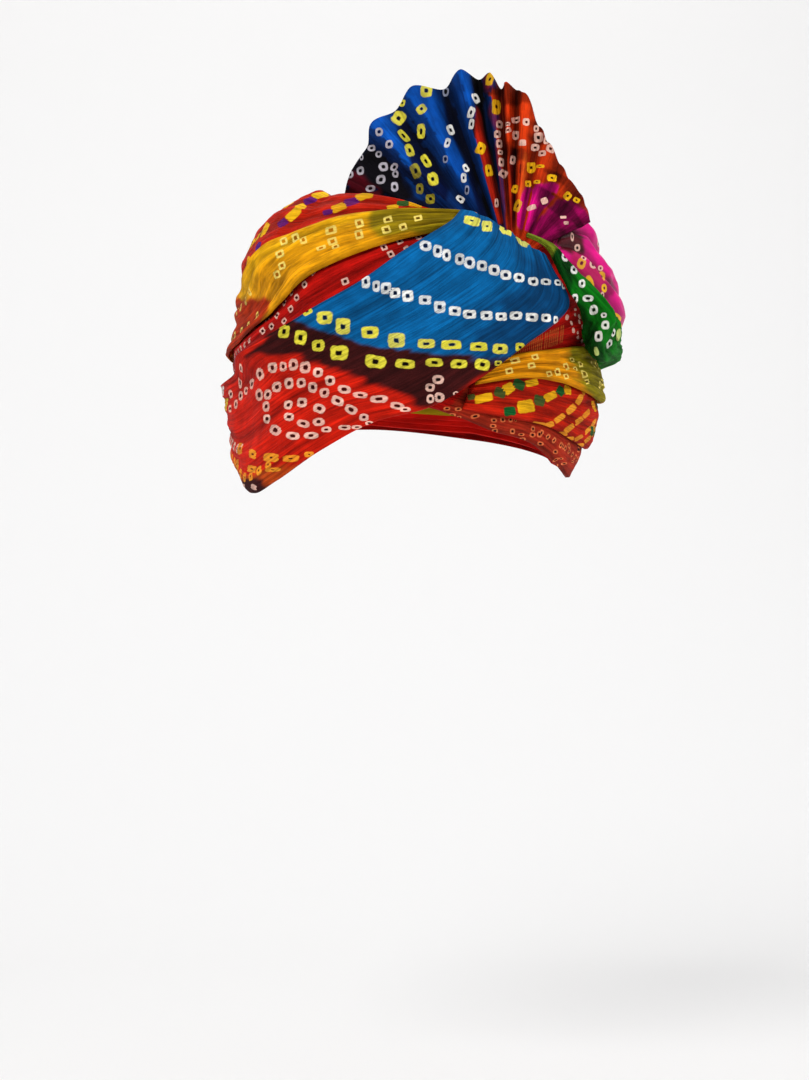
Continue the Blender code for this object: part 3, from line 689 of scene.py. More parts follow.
def makeWrap(pile, wrap, seed):
    sections = smoothRows(wrap["rows"], wrap["stations"])
    places = np.linspace(0, 1, wrap["stations"])
    shares = np.linspace(0, 1, wrap["columns"])
    low, high = sections[:, None, :2], sections[:, None, 2:]
    seen = low + (high - low) * shares[:, None]
    bearing, rise = seen[..., 0], seen[..., 1]
    inner = pile.read(pile.seat(wrap["bridge"]), bearing, rise) + pileForm["gap"]
    if "endBridge" in wrap:  # the far end is pulled closer to the turns under it
        tight = pile.read(pile.seat(wrap["endBridge"]), bearing, rise) + pileForm["gap"]
        inner = inner + (tight - inner) * softStep(*wrap["tightens"], places)[:, None]
    base = pointsAt(bearing, rise, inner)
    lengthwise, crosswise, widths = clothCoordinates(base, shares)
    folds = foldHeight(wrap, places, shares, seed)
    gathers = gatherHeight(lengthwise, crosswise, wrap["gather"], seed)
    # Painted shade in the hollows of the folds and gathers, darker where the relief is lowest
    shade = creaseShade(folds, wrap["foldShade"]) * creaseShade(gathers, wrap["gatherShade"])
    folds = folds + gathers
    if wrap.get("billow"):
        arch = np.sin(math.pi * places)[:, None] ** 0.85
        inner = inner + arch * (wrap["billow"] * np.sin(math.pi * shares) + folds)
        outer = inner + wrap["wall"]
    else:
        fromEdge = np.minimum(shares, 1 - shares)[None] * widths[:, None]
        fromEnd = np.minimum(lengthwise, lengthwise.max() - lengthwise)
        near = np.clip(np.minimum(fromEdge, fromEnd) / wrap["edgeWidth"], 0, 1)
        outer = inner + pileForm["edgeWall"] + (wrap["wall"] + folds) * np.sqrt(1 - (1 - near) ** 2)
    outerPoints = pointsAt(bearing, rise, outer)
    shown = leaned(outerPoints)
    tied = spotsOn(shown, wrap, fromPile(shown))
    if not wrap.get("billow"):
        outer = outer + puckers(shown, tied)
        outerPoints = pointsAt(bearing, rise, outer)
        shown = leaned(outerPoints)
    pile.cover(finer(outerPoints))
    piece = makeShell(wrap["name"], shown, leaned(pointsAt(bearing, rise, inner)))
    ground = groundColor(shown, fromPile(shown), lengthwise, crosswise, shares, wrap, seed)
    # The ground colour takes the painted shade of the folds and gathers
    ground = ground * shade
    dress(piece, ground, lengthwise, crosswise, tied, wrap["finish"])
    return piece


# Distance in chart pixels from a smooth closed outline, positive inside
def fromCurve(points, x, y):
    outline = np.array(points, float)
    smooth = smoothRows(np.concatenate([outline[-1:], outline, outline[:2]]), 12 * len(outline))
    smooth = smooth[12:-12] if len(outline) > 3 else smooth
    start, end = smooth, np.roll(smooth, -1, axis=0)
    far = np.full(x.shape, 1e9)
    inside = np.zeros(x.shape, bool)
    for (ax, ay), (bx, by) in zip(start, end):
        dx, dy = bx - ax, by - ay
        t = np.clip(((x - ax) * dx + (y - ay) * dy) / (dx * dx + dy * dy + 1e-9), 0, 1)
        far = np.minimum(far, np.hypot(x - ax - t * dx, y - ay - t * dy))
        crosses = (ay > y) != (by > y)
        inside ^= crosses & (x < (bx - ax) * (y - ay) / (by - ay + 1e-12) + ax)
    return np.where(inside, far, -far)


# The ground colour under the rings: dye in bands across the cloth, then zones of the chart laid over them,
# most of dye and some of painted shade and painted light
bleeding = {"streakLength": 0.018, "streakWidth": 0.0025, "blotchLength": 0.007, "blotchWidth": 0.006,
            "blotch": 0.8, "intoBands": 0.10, "intoZones": 0.7, "turnedFrom": (-0.05, 0.12)}


def groundColor(grid, outward, lengthwise, crosswise, shares, wrap, seed):
    b = bleeding
    streak = clothNoise(lengthwise / b["streakLength"], crosswise / b["streakWidth"], seed + 30)
    blotch = clothNoise(lengthwise / b["blotchLength"], crosswise / b["blotchWidth"], seed + 31)
    bleed = streak - 0.5 + b["blotch"] * (blotch - 0.5)
    bands = np.array([(place, *color) for place, color in wrap["bands"]])
    at = np.clip(shares[None] + b["intoBands"] * bleed, 0, 1)
    ground = np.stack([np.interp(at, bands[:, 0], bands[:, k]) for k in (1, 2, 3)], axis=-1)
    x, y = chartOf(grid)
    front = softStep(*b["turnedFrom"], facing(grid, outward))
    for outline, color, softness in wrap["zones"]:
        depth = fromCurve(outline, x, y) + softness * b["intoZones"] * bleed
        mask = (softStep(-softness / 2, softness / 2, depth) * front)[..., None]
        ground = ground * (1 - mask) + np.array(color) * mask
    return ground


# Painted shade: the ground colour is darkened in the creases, where the relief is lowest, by the wrap's
# own share
def creaseShade(relief, darkness):
    high = (relief - relief.min()) / (relief.max() - relief.min() + 1e-9)
    return (1 - darkness * (1 - softStep(0.05, 0.62, high)))[..., None]


def dress(piece, ground, lengthwise, crosswise, tied, finish):
    mesh = piece.data
    count = len(mesh.vertices)
    setColor(mesh, "ground", "POINT", np.resize(ground.reshape(-1, 3), (count, 3)))
    place = np.stack([lengthwise.ravel(), crosswise.ravel()], axis=-1)
    setUv(mesh, "cloth", np.resize(place, (count, 2))[cornersOf(mesh)])
    drawSpots(piece, tied)
    mesh.materials.append(finish)


def dressGrid(piece, grid, outward, look, shade, seed):
    shares = np.linspace(0, 1, grid.shape[1])
    lengthwise, crosswise, _ = clothCoordinates(grid, shares)
    ground = groundColor(grid, outward, lengthwise, crosswise, shares, look, seed) * shade
    dress(piece, ground, lengthwise, crosswise, spotsOn(grid, look, outward), look["finish"])


cotton = {"roughness": 0.75, "specular": 0.06, "spacing": 0.0015, "length": 0.018,
          "bump": 0.0011, "contrast": 0.85, "heart": (0.08, 0.08, 0.12)}
clothLooks = {
    "crinkled": cotton,
    "sunlit": {**cotton, "heart": (0.62, 0.45, 0.30)},
    "creased": {**cotton, "length": 0.032},
    "satin": {"roughness": 0.42, "specular": 0.16, "spacing": 0.0030, "length": 0.030,
              "bump": 0.0005, "contrast": 0.5, "heart": (0.25, 0.2, 0.2)},
    "plain": {"roughness": 0.80, "specular": 0.06, "spacing": 0.0030, "length": 0.030,
              "bump": 0.0004, "contrast": 0.6, "heart": (0.2, 0.2, 0.2)},
}
finishes = {name: clothMaterial(name, look) for name, look in clothLooks.items()}
print("made the finishes")

# Colours of the cloth: its dyes, and darker and lighter tones that some zones lay on as painted shade and
# painted light
colors = {
    "red": (0.58, 0.006, 0.003), "scarlet": (0.74, 0.014, 0.003), "rimRed": (0.42, 0.026, 0.009),
    "deepRed": (0.36, 0.010, 0.006), "checkRed": (0.62, 0.016, 0.003),
    "brown": (0.046, 0.005, 0.005), "maroon": (0.10, 0.003, 0.010), "amberRed": (0.60, 0.070, 0.006),
    "gold": (0.95, 0.40, 0.004), "sun": (0.98, 0.50, 0.006), "sideGold": (0.88, 0.33, 0.003),
    "olive": (0.34, 0.23, 0.004), "moss": (0.30, 0.24, 0.004),
    "blue": (0.001, 0.125, 0.36), "shadedBlue": (0.001, 0.058, 0.18), "brightBlue": (0.002, 0.070, 0.37),
    "deepBlue": (0.002, 0.032, 0.17), "navy": (0.001, 0.005, 0.040), "black": (0.004, 0.003, 0.006),
    "rust": (0.36, 0.012, 0.003), "orangeRed": (0.58, 0.036, 0.003), "orange": (0.66, 0.080, 0.009),
    "darkRed": (0.10, 0.003, 0.002), "magenta": (0.92, 0.001, 0.27), "rose": (0.60, 0.004, 0.12),
    "wine": (0.38, 0.001, 0.100), "hotPink": (0.80, 0.004, 0.24),
    "green": (0.003, 0.17, 0.006), "darkGreen": (0.001, 0.050, 0.003), "lime": (0.26, 0.34, 0.02),
}

# Each turn's rows run along it: bearing and rise of its lower edge, then of its upper edge.
# Charted spots give the chart's x and y, then, where they have their own, half their width, half
# their height and their turn in degrees. Bands and shares run from the lower edge to the upper.
gathered = {"height": 0.0009, "spacing": 0.0034, "length": 0.026}
topWrap = {
    "name": "top_wrap", "folds": 4, "foldDepth": 0.0024, "wall": 0.0014, "edgeWidth": 0.0022,
    "bridge": 4, "stations": 240, "columns": 60, "finish": finishes["crinkled"],
    "foldShade": 0.45, "gatherShade": 0.35, "gather": gathered,
    "bands": [(0, colors["red"]), (0.55, colors["red"]), (0.72, colors["maroon"]),
              (1, colors["deepRed"])],
    "zones": [], "charted": [],
    "alongCloth": [
        {"tint": "pinkWhite", "heart": 0.36, "square": 0.3, "half": (5, 5), "share": share,
         "from": 0.02, "to": 0.98, "spacing": 0.0095} for share in (0.12, 0.34, 0.88)
    ] + [
        {"tint": "yellow", "heart": 0.30, "square": 0.45, "half": (7, 6), "share": share,
         "from": 0.03, "to": 0.97, "spacing": 0.013} for share in (0.58, 0.70)
    ],
    "rows": [
        (56, 20, 62, 40), (76, 20, 78, 55), (100, 20, 100, 63), (130, 18, 130, 65),
        (160, 18, 160, 65), (190, 20, 190, 65), (220, 22, 220, 66), (250, 26, 250, 67),
        (280, 32, 280, 66), (300, 40, 300, 63),
    ],
}

rimWrap = {
    "name": "rim_wrap", "folds": 2, "foldDepth": 0.0020, "wall": 0.0016, "edgeWidth": 0.0022,
    "bridge": 4, "stations": 300, "columns": 44, "finish": finishes["crinkled"],
    "foldShade": 0.45, "gatherShade": 0.40, "gather": gathered,
    "bands": [(0, colors["red"]), (1, colors["red"])], "zones": [
        ([(440, 395), (520, 395), (640, 395), (640, 500), (440, 500)], colors["rimRed"], 4)],
    "charted": [
        {"tint": "coral", "heart": 0.45, "square": 0.2, "half": (3.2, 2.2), "spots": [
            (447, 409, 3.5, 2), (458, 409, 3.6, 2), (469, 408, 3.4, 2.6), (477, 405, 2.4, 1.6),
            (476, 416, 4.6, 2.2, 12), (494, 421, 3.3, 2.3), (503, 420, 2.9, 2.8),
            (511, 419, 2.4, 3.2), (516, 420, 1.2, 1.8), (494, 426, 3.4, 2), (495, 431, 3.4, 2.4),
            (513, 431, 2.8, 3), (522, 435, 3.6, 1.4), (522, 439, 3.6, 1.7), (523, 445, 3, 2.4),
            (532, 435, 3.3, 2.7), (540, 434, 2.8, 3.4), (541, 444, 3.6, 2.2), (452, 416, 4, 1.6),
            (458, 420, 2.3, 1.4), (478, 431, 3, 1.4), (556, 452, 3, 2.4), (563, 446, 1.4, 3.5, 20),
            (569, 446, 1.4, 3.5, 15), (578, 450, 3.5, 3), (556, 460, 4, 1.2, 30),
            (564, 463, 4, 1.2, 10), (572, 462, 3, 1.2), (553, 468, 2.5, 1.5), (561, 458, 3, 1)]},
    ],
    "alongCloth": [
        {"tint": "coral", "heart": 0.4, "square": 0.2, "half": (3.4, 3.2), "share": 0.3,
         "from": 0.30, "to": 0.99, "spacing": 0.0075},
        {"tint": "coral", "heart": 0.4, "square": 0.2, "half": (3.4, 3.2), "share": 0.7,
         "from": 0.34, "to": 0.99, "spacing": 0.0085},
    ],
    "rows": [
        (-24, -13, -24, 0), (-6, -9.5, -6, 1), (6, -12, 7, 0), (18, -16, 19, -3),
        (32, -19, 34, -5), (48, -25, 50, -6), (66, -29.5, 66, -7), (84, -29, 84, -5),
        (110, -23, 110, -1), (145, -16, 145, 3), (180, -12, 180, 6), (215, -16, 215, 4),
        (250, -24, 250, 0), (272, -29, 270, -5),
    ],
}

dottedWrap = {
    "name": "dotted_wrap", "folds": 3, "foldDepth": 0.0018, "wall": 0.0014, "edgeWidth": 0.0022,
    "bridge": 4, "stations": 340, "columns": 60, "finish": finishes["crinkled"],
    "foldShade": 0.35, "gatherShade": 0.35, "gather": gathered,
    "bands": [(0, colors["red"]), (1, colors["red"])], "zones": [],
    "charted": [
        {"tint": "pinkWhite", "heart": 0.40, "square": 0.9, "half": (3.1, 3.3), "turn": 35, "spots": [
            (284, 283), (298, 277), (311, 271), (291, 291), (304, 284), (277, 296), (296, 297),
            (284, 303), (272, 308), (290, 309), (277, 315), (267, 320), (284, 321), (272, 327),
            (262, 331), (258, 343), (345, 282, 3.8, 3.6, 20), (383, 247, 3.2, 3.8, 25),
            (390, 254, 3.2, 3.8, 25), (399, 241, 3.4, 3.4, 30), (407, 249, 3, 3.4, 30),
            (417, 236, 3.2, 3.4, 30), (325, 265, 3, 1.6, 25)]},
        {"tint": "pinkWhite", "heart": 0.0, "square": 0.2, "half": (1.3, 2.6), "turn": 18, "spots": [
            (567, 317, 2, 2.8, -20), (571, 323), (574, 330, 1.6, 2.8, 10), (577, 337, 1.4, 2.6, 10),
            (582, 341, 1.4, 2.8, 0), (579, 322, 1.1, 2.6, 10), (580, 317), (576, 310, 1.6, 1.6),
            (583, 328, 1.2, 3, 15), (587, 335, 1.4, 2.6, 10), (575, 315, 1.1, 1.8),
            (578, 332, 1.1, 2)]},
        {"tint": "stripe", "heart": 0.0, "square": 0.6, "half": (0.75, 9), "turn": -4,
         "chain": [(516, 352), (528, 347), (540, 342), (552, 338), (563, 334)], "count": 22},
    ],
    "alongCloth": [
        {"tint": "pinkWhite", "heart": 0.38, "square": 0.9, "half": (3, 3), "share": share,
         "from": start, "to": end, "spacing": 0.0085}
        for share in (0.25, 0.5, 0.75) for start, end in ((0.34, 0.42), (0.52, 0.60), (0.68, 0.78))
    ],
    "rows": [
        (17, 33, 16, 39.5), (2, 29, 4, 38.5), (-14, 21, -13, 36), (-30, 12, -29, 32),
        (-47, 5, -46, 28), (-65, 0, -64, 22.5), (-90, -5, -90, 17), (-120, -6, -120, 15),
        (-150, -4, -150, 18), (-180, -1, -180, 22), (-210, 2, -210, 26), (-240, 3, -240, 29),
        (-265, 4, -265, 29), (-290, 5, -290, 27), (-309, 5, -309, 24), (-326, 3, -324, 18),
        (-342, -1, -340, 10),
    ],
}

checkedWrap = {
    "name": "checked_wrap", "folds": 4, "foldDepth": 0.0017, "wall": 0.0014, "edgeWidth": 0.0022,
    "bridge": 4, "stations": 360, "columns": 76, "finish": finishes["crinkled"],
    "foldShade": 0.40, "gatherShade": 0.35, "gather": gathered,
    "bands": [(0, colors["checkRed"]), (1, colors["checkRed"])], "zones": [],
    "charted": [
        {"tint": "gold", "heart": 0.0, "square": 0.9, "half": (8, 5), "spots": [
            (293, 214, 8.5, 5, 42), (301, 207, 4.5, 5.5, 42), (321, 195, 9, 4, 12),
            (339, 207, 8, 4.6, 20), (365, 196, 9.5, 4.5, 14), (415, 204, 7.5, 2.8, -10),
            (393, 207, 6, 2.4, 10), (255, 258, 2.8, 7.5, -8), (264, 231, 3.6, 9, -28),
            (248, 262, 1.8, 6, -10), (483, 398, 9.5, 4.3, 14), (508, 388, 6.6, 5.2, 34),
            (531, 383, 7, 3.6, 15), (526, 407, 9, 6.6, 10), (551, 397, 7.3, 4.2, 28),
            (568, 390, 4, 5)]},
        {"tint": "purple", "heart": 0.0, "square": 0.8, "half": (6, 5), "spots": [
            (283, 223, 5.6, 4.8, 40), (310, 201, 7, 4, 18), (328, 212, 5.4, 3, 10),
            (351, 202, 8, 4.8, 8), (258, 246, 3, 5, -15)]},
        {"tint": "green", "heart": 0.0, "square": 0.8, "half": (6, 5), "spots": [
            (403, 203, 6.4, 3, 0), (472, 397, 4, 3, 10), (499, 393, 6.3, 5, -20),
            (518, 384, 6.6, 5, -25), (511, 411, 6.3, 4.8, 5), (540, 401, 6, 5.6, -10),
            (561, 391, 4.8, 4.8, -35)]},
        {"tint": "amber", "heart": 0.0, "square": 0.6, "half": (6, 3), "spots": [
            (540, 425, 8, 2, -5), (550, 425, 5, 3, 20), (560, 418, 7, 3, 36), (571, 409, 6.5, 3.4, 42),
            (580, 400, 6, 3, 58), (583, 391, 4.4, 2.6, 85), (561, 434, 6, 2.2, 5),
            (570, 429, 6.5, 2.8, 38), (579, 421, 6, 2.7, 38), (587, 414, 6, 2.6, 46),
            (593, 405, 5.6, 2.6, 62), (568, 441, 5.5, 1.8, 5), (578, 438, 5.4, 2, 30),
            (587, 431, 6, 2.1, 42), (594, 423, 5.2, 2, 50), (579, 445, 5.4, 1.8, 5),
            (588, 439, 5.4, 1.9, 40), (595, 430, 5, 1.8, 55), (600, 421, 5, 1.8, 65)]},
    ],
    "alongCloth": [
        {"tint": tint, "heart": 0.0, "square": 0.85, "half": (7, 6), "share": share,
         "from": 0.30 + shift, "to": 0.80, "spacing": 0.0176}
        for share in (0.22, 0.5, 0.78) for tint, shift in (("gold", 0.0), ("green", 0.0083))
    ],
    "rows": [
        (13, 41, 14, 44.0), (0, 40, 1, 46.5), (-14, 39, -15, 53), (-30, 37, -32, 57.5),
        (-48, 33, -50, 61), (-68, 28, -70, 63), (-92, 24, -94, 64), (-120, 20, -120, 60),
        (-150, 15, -150, 52), (-180, 7, -180, 42), (-210, -3, -210, 32), (-240, -12, -240, 22),
        (-265, -18, -265, 13), (-287, -20, -287, 7), (-306, -18, -305, 3), (-323, -14, -321, 2),
        (-338, -12, -335, 3), (-353, -10, -349, 0),
    ],
}

yellowWrap = {
    "name": "yellow_wrap", "folds": 4, "foldDepth": 0.0016, "wall": 0.0013, "edgeWidth": 0.0022,
    "bridge": 4, "stations": 400, "columns": 64, "finish": finishes["sunlit"],
    "foldShade": 0.28, "gatherShade": 0.42,
    "gather": {"height": 0.0012, "spacing": 0.0032, "length": 0.034},
    "bands": [(0, colors["gold"]), (0.5, colors["gold"]), (0.8, colors["sun"]), (1, colors["gold"])],
    "zones": [
        ([(205, 296), (240, 300), (268, 300), (266, 322), (262, 350), (205, 375)], colors["orangeRed"], 7),
        ([(375, 200), (400, 205), (470, 205), (470, 240), (410, 233), (385, 236), (370, 225)],
         colors["olive"], 9),
        ([(470, 330), (575, 330), (620, 330), (620, 420), (500, 420), (470, 380)],
         colors["sideGold"], 8),
        ([(572, 330), (620, 330), (620, 420), (588, 395), (578, 375), (570, 360)],
         colors["moss"], 9)],
    "charted": [
        {"tint": "paleGold", "heart": 0.42, "square": 0.8, "half": (4, 4), "turn": 15, "spots": [
            (280, 254, 4.5, 4), (283, 241), (295, 238, 4, 5), (303, 240, 3.8, 4.5),
            (330, 230, 6, 4.5), (332, 241, 5, 4), (359, 223, 4.3, 5), (360, 234, 4.3, 5),
            (387, 220, 4.5, 3.5), (387, 230, 4.5, 4), (403, 227, 4, 4), (417, 218, 4.2, 3.2),
            (282, 266), (277, 275, 3.5, 4), (321, 248, 5, 2), (336, 247, 4, 2),
            (549, 374, 3, 3), (558, 372, 3, 4), (566, 377, 2.7, 3), (566, 367, 3, 3.8),
            (575, 369, 2.5, 2.5), (581, 364, 3, 3.4), (585, 374, 3.5, 4.5), (572, 360, 3.5, 2.5),
            (587, 382, 4, 2.5), (602, 382, 2, 4), (515, 361, 5, 3), (509, 371, 4, 3),
            (535, 357, 4, 3), (531, 366, 4, 3)]},
    ],
    "alongCloth": [
        {"tint": "paleGold", "heart": 0.4, "square": 0.8, "half": (4.2, 4.2), "share": share,
         "from": 0.33, "to": 0.80, "spacing": 0.016} for share in (0.3, 0.68)
    ],
    "rows": [
        (16, 38.5, 16, 43), (4, 37.5, 5, 43.5), (-10, 35, -11, 44.2), (-26, 31, -28, 43.8),
        (-42, 26.5, -45, 42), (-57, 22, -61, 38.5), (-73, 17, -77, 32), (-95, 13, -97, 28),
        (-122, 9, -122, 25), (-150, 5, -150, 22), (-180, 1, -180, 18), (-210, -2, -210, 15),
        (-240, -4, -240, 12.5), (-268, -5.5, -268, 10.5), (-290, -6, -290, 9.5),
        (-306, -4, -307, 9), (-322, -1.5, -322, 7.5), (-336, -1, -335, 6.0),
        (-350, -3, -347, 3.5),
    ],
}

blueWrap = {
    "name": "blue_wrap", "folds": 5, "foldDepth": 0.0012, "wall": 0.0016, "edgeWidth": 0.0026,
    "bridge": 8, "endBridge": 2.5, "tightens": (0.86, 0.95),
    "stations": 350, "columns": 112, "finish": finishes["creased"],
    "foldShade": 0.15, "gatherShade": 0.42,
    "gather": {"height": 0.0009, "spacing": 0.0052, "length": 0.100},
    "bands": [(0, colors["scarlet"]), (0.30, colors["scarlet"]), (0.42, colors["brown"]),
              (0.55, colors["blue"]), (1, colors["blue"])], "zones": [
        ([(225, 345), (262, 330), (300, 325), (363, 338), (440, 350), (500, 355), (560, 330),
          (585, 380), (520, 460), (380, 480), (240, 520), (205, 430)], colors["scarlet"], 5),
        ([(246, 357), (262, 340), (277, 324), (300, 310), (400, 335), (520, 340), (560, 322),
          (540, 350), (500, 371), (478, 381), (455, 398), (427, 408), (401, 394), (374, 384),
          (342, 371), (313, 362), (283, 356), (262, 352)], colors["brown"], 9),
        ([(288, 317), (327, 293), (386, 260), (440, 226), (470, 205), (540, 215), (580, 250),
          (580, 305), (559, 319), (521, 353), (503, 357), (474, 356), (439, 354), (401, 350),
          (362, 344), (327, 333), (298, 322)], colors["blue"], 4),
        # This zone is painted shade: the blue darkened beside the green roll
        ([(470, 330), (500, 300), (530, 262), (560, 245), (585, 262), (580, 310), (559, 322),
          (521, 356), (480, 358)], colors["shadedBlue"], 26),
        ([(225, 470), (250, 474), (300, 466), (300, 520), (225, 520)], colors["amberRed"], 8),
        ([(228, 482), (262, 482), (270, 510), (225, 510)], colors["brown"], 7),
    ],
    "charted": [
        {"tint": "lemon", "heart": 0.20, "square": 0.7, "half": (8, 6.5), "spots": [
            (472, 221, 8.5, 5, -8), (487, 226, 5.5, 6), (506, 229, 7, 6, -15), (524, 238, 7.5, 6, -30),
            (546, 247, 5.5, 5.5), (557, 251, 2.5, 4, 20)]},
        {"tint": "white", "heart": 0.38, "square": 0.25, "half": (5.5, 5), "spots": [
            (426, 246, 6, 5.5), (437, 251, 5, 6.5), (447, 255, 4.5, 6.5), (459, 259, 5, 6),
            (470, 263, 6, 6), (482, 266, 5.5, 5.5), (494, 270, 6, 5.5), (505, 275, 6, 5),
            (519, 277, 6, 5), (533, 281, 5.7, 4.7), (546, 282, 5.3, 3.7), (558, 283, 4, 3.4),
            (565, 285, 2, 4)]},
        {"tint": "white", "heart": 0.34, "square": 0.45, "half": (6.2, 4.5), "spots": [
            (366, 282, 4.5, 6.5), (376, 285, 3.8, 5.5), (386, 288, 5.3, 6), (396, 293, 5.3, 5.5),
            (408, 297, 5.8, 6), (425, 301, 6.5, 4.5), (440, 307, 6, 6.2), (455, 311, 6.2, 4.8),
            (470, 314, 6.7, 4.5), (486, 315, 6.2, 4.6), (501, 316, 6, 4.4), (516, 316, 6.4, 4.3),
            (532, 317, 6.8, 4.6), (546, 318, 5, 4.3), (556, 320, 2.5, 4)]},
        {"tint": "yellow", "heart": 0.30, "square": 0.45, "half": (9, 6), "spots": [
            (307, 310, 5.4, 4.2, 25), (324, 318, 8, 6.6), (343, 327, 7.8, 8), (370, 333, 8.8, 6),
            (396, 341, 9, 7.6), (426, 344, 9, 4.8), (452, 345, 10.2, 4.8), (479, 346, 8.8, 4.6),
            (500, 348, 7.6, 5.4), (520, 348, 5, 4.6)]},
        {"tint": "yellow", "heart": 0.34, "square": 0.4, "half": (9, 6), "spots": [
            (284, 332, 5.8, 7.2, -10), (300, 337, 6.2, 7.2, -8), (318, 345, 6.4, 6),
            (339, 353, 9.2, 7.4), (375, 361, 10.4, 6.6, -8), (405, 363, 10.2, 4.8, -5),
            (434, 363, 8.6, 4.4), (459, 363, 8.2, 4.6), (482, 364, 7.6, 5.6, -12), (498, 363, 3.8, 2.8)]},
        {"tint": "pinkWhite", "heart": 0.38, "square": 0.2, "half": (5, 5), "spots": [
            (260, 374, 4.7, 6.3), (272, 368, 5, 5.5), (283, 367, 4, 5), (294, 365, 5, 6),
            (306, 367, 5.8, 6), (318, 372, 5.3, 5.2), (330, 381, 5.5, 5), (344, 389, 7, 4.2, -8),
            (361, 395, 7.5, 3.4, -5), (379, 399, 9.2, 4), (397, 405, 7.8, 3.6, -10),
            (405, 409, 5.5, 2.4), (252, 384, 3.2, 5.5), (246, 391, 2.8, 4.5), (241, 396, 2.6, 5),
            (236, 404, 2.2, 5), (230, 409, 3.5, 4), (231, 394, 3.5, 4.5), (240, 382, 2, 6),
            (241, 368, 1.8, 5), (259, 395, 4.3, 6.2), (268, 395, 4.4, 5.5), (266, 407, 4, 5.3),
            (267, 419, 4, 4.7), (276, 430, 6.5, 5.3, -30), (293, 435, 7.3, 4, -8),
            (311, 435, 7.5, 3.6), (327, 430, 5.5, 3), (344, 427, 6.5, 2.6), (357, 427, 5.5, 2),
            (370, 423, 4, 2), (277, 387, 5.2, 5.5), (289, 383, 5, 6), (301, 383, 4.8, 5),
            (313, 387, 5, 5.5), (325, 393, 5.3, 5), (337, 401, 6.8, 4.7, -25),
            (351, 409, 7, 4.5, -25), (364, 417, 5.2, 3.8), (288, 405, 5, 4.7), (302, 402, 5.5, 5.2),
            (319, 408, 6.4, 4.6, -15), (289, 417, 5.7, 4.2, -10), (303, 423, 6.8, 3.8, -15),
            (319, 421, 6.2, 4.2), (439, 379, 6, 4.7, -10), (430, 387, 4.8, 4.5),
            (439, 397, 5, 4.8), (430, 399, 4, 4.5), (457, 397, 3, 2.2)]},
        {"tint": "amber", "heart": 0.20, "square": 0.3, "half": (6, 4), "spots": [
            (240, 449, 3.8, 6.3), (253, 454, 6, 4.3, -28), (271, 458, 9, 4.5, -5),
            (291, 459, 9, 3.6), (309, 454, 5, 3), (237, 464, 3.6, 5, -40), (252, 469, 8, 3.6, -14),
            (273, 469, 9, 2.2)]},
        {"tint": "pinkWhite", "heart": 0.0, "square": 0.2, "half": (5, 2.5), "spots": [
            (242, 487, 4.6, 2.2, -10), (254, 487, 4.5, 2.6, -30)]},
    ],
    "alongCloth": [
        {"tint": "yellow", "heart": 0.28, "square": 0.6, "half": (8, 7), "share": 0.78,
         "from": 0.72, "to": 0.99, "spacing": 0.014},
        {"tint": "white", "heart": 0.34, "square": 0.4, "half": (5.5, 5.5), "share": 0.92,
         "from": 0.72, "to": 0.99, "spacing": 0.0095},
        {"tint": "pinkWhite", "heart": 0.28, "square": 0.3, "half": (5, 5), "share": 0.34,
         "from": 0.70, "to": 0.99, "spacing": 0.0095},
        {"tint": "amber", "heart": 0.22, "square": 0.3, "half": (6, 5), "share": 0.12,
         "from": 0.63, "to": 0.99, "spacing": 0.012},
    ],
    "rows": [
        (42, 33, 9, 42.2), (43.5, 26.5, 5, 38.6), (42.5, 20, -2, 34.5), (34, 13, -10, 30),
        (22, 6, -22, 22.7), (9, -2.5, -36, 17), (-3, -9.5, -51, 11.6), (-18, -13.5, -65, 7.8),
        (-33, -20.5, -79, 3.5), (-50, -28.5, -92, 1.5), (-68, -33.0, -107, 0.5), (-90, -28.5, -122, 0.5),
        (-112, -23.5, -140, 1.5), (-135, -18, -160, 3), (-156, -14.5, -178, 1),
    ],
}

sideDrape = {
    "name": "side_drape", "folds": 4, "foldDepth": 0.0056, "billow": 0.010, "wall": 0.0018,
    "bridge": 4, "stations": 110, "columns": 120, "finish": finishes["satin"],
    "foldShade": 0.50, "gatherShade": 0.25,
    "gather": {"height": 0.0010, "spacing": 0.0060, "length": 0.030},
    # The maroon, rose and wine zones darken the magenta satin where it lies in shade: painted shade
    "bands": [(0, colors["magenta"]), (1, colors["magenta"])], "zones": [
        ([(556, 228), (574, 228), (586, 244), (582, 256), (570, 254), (558, 246)],
         colors["maroon"], 5),
        ([(573, 252), (585, 258), (602, 272), (610, 286), (604, 300), (592, 296), (582, 280),
          (574, 268)], colors["rose"], 8),
        ([(603, 279), (614, 281), (614, 294), (604, 296)], colors["wine"], 5)],
    "charted": [
        {"tint": "pinkWhite", "heart": 0.4, "square": 0.1, "half": (3.4, 3.6), "spots": [
            (593, 265, 4.3, 4.3), (601, 268, 3, 3), (584, 258, 3, 3), (577, 247, 3.2, 4),
            (601, 243, 2.4, 4), (602, 295, 2, 4), (570, 228, 1.8, 5), (572, 237, 1.8, 5)]},
        {"tint": "gold", "heart": 0.3, "square": 0.1, "half": (4.6, 6), "spots": [
            (582, 264, 4.6, 6.3, -15), (601, 277, 4.6, 6.6, -20), (589, 283, 4.2, 8, 15),
            (604, 288, 3.2, 4.5), (616, 318, 7, 4.5, -35), (606, 308, 2.6, 5, 40),
            (620, 329, 3.6, 8, 25)]},
    ],
    "alongCloth": [],
    "rows": [
        (51, 34.5, 52.5, 38), (54, 31, 59, 46), (61.5, 22.5, 70, 46), (70, 15, 84, 42.5),
        (80, 12.5, 98, 38), (90, 12.5, 110, 31),
    ],
}

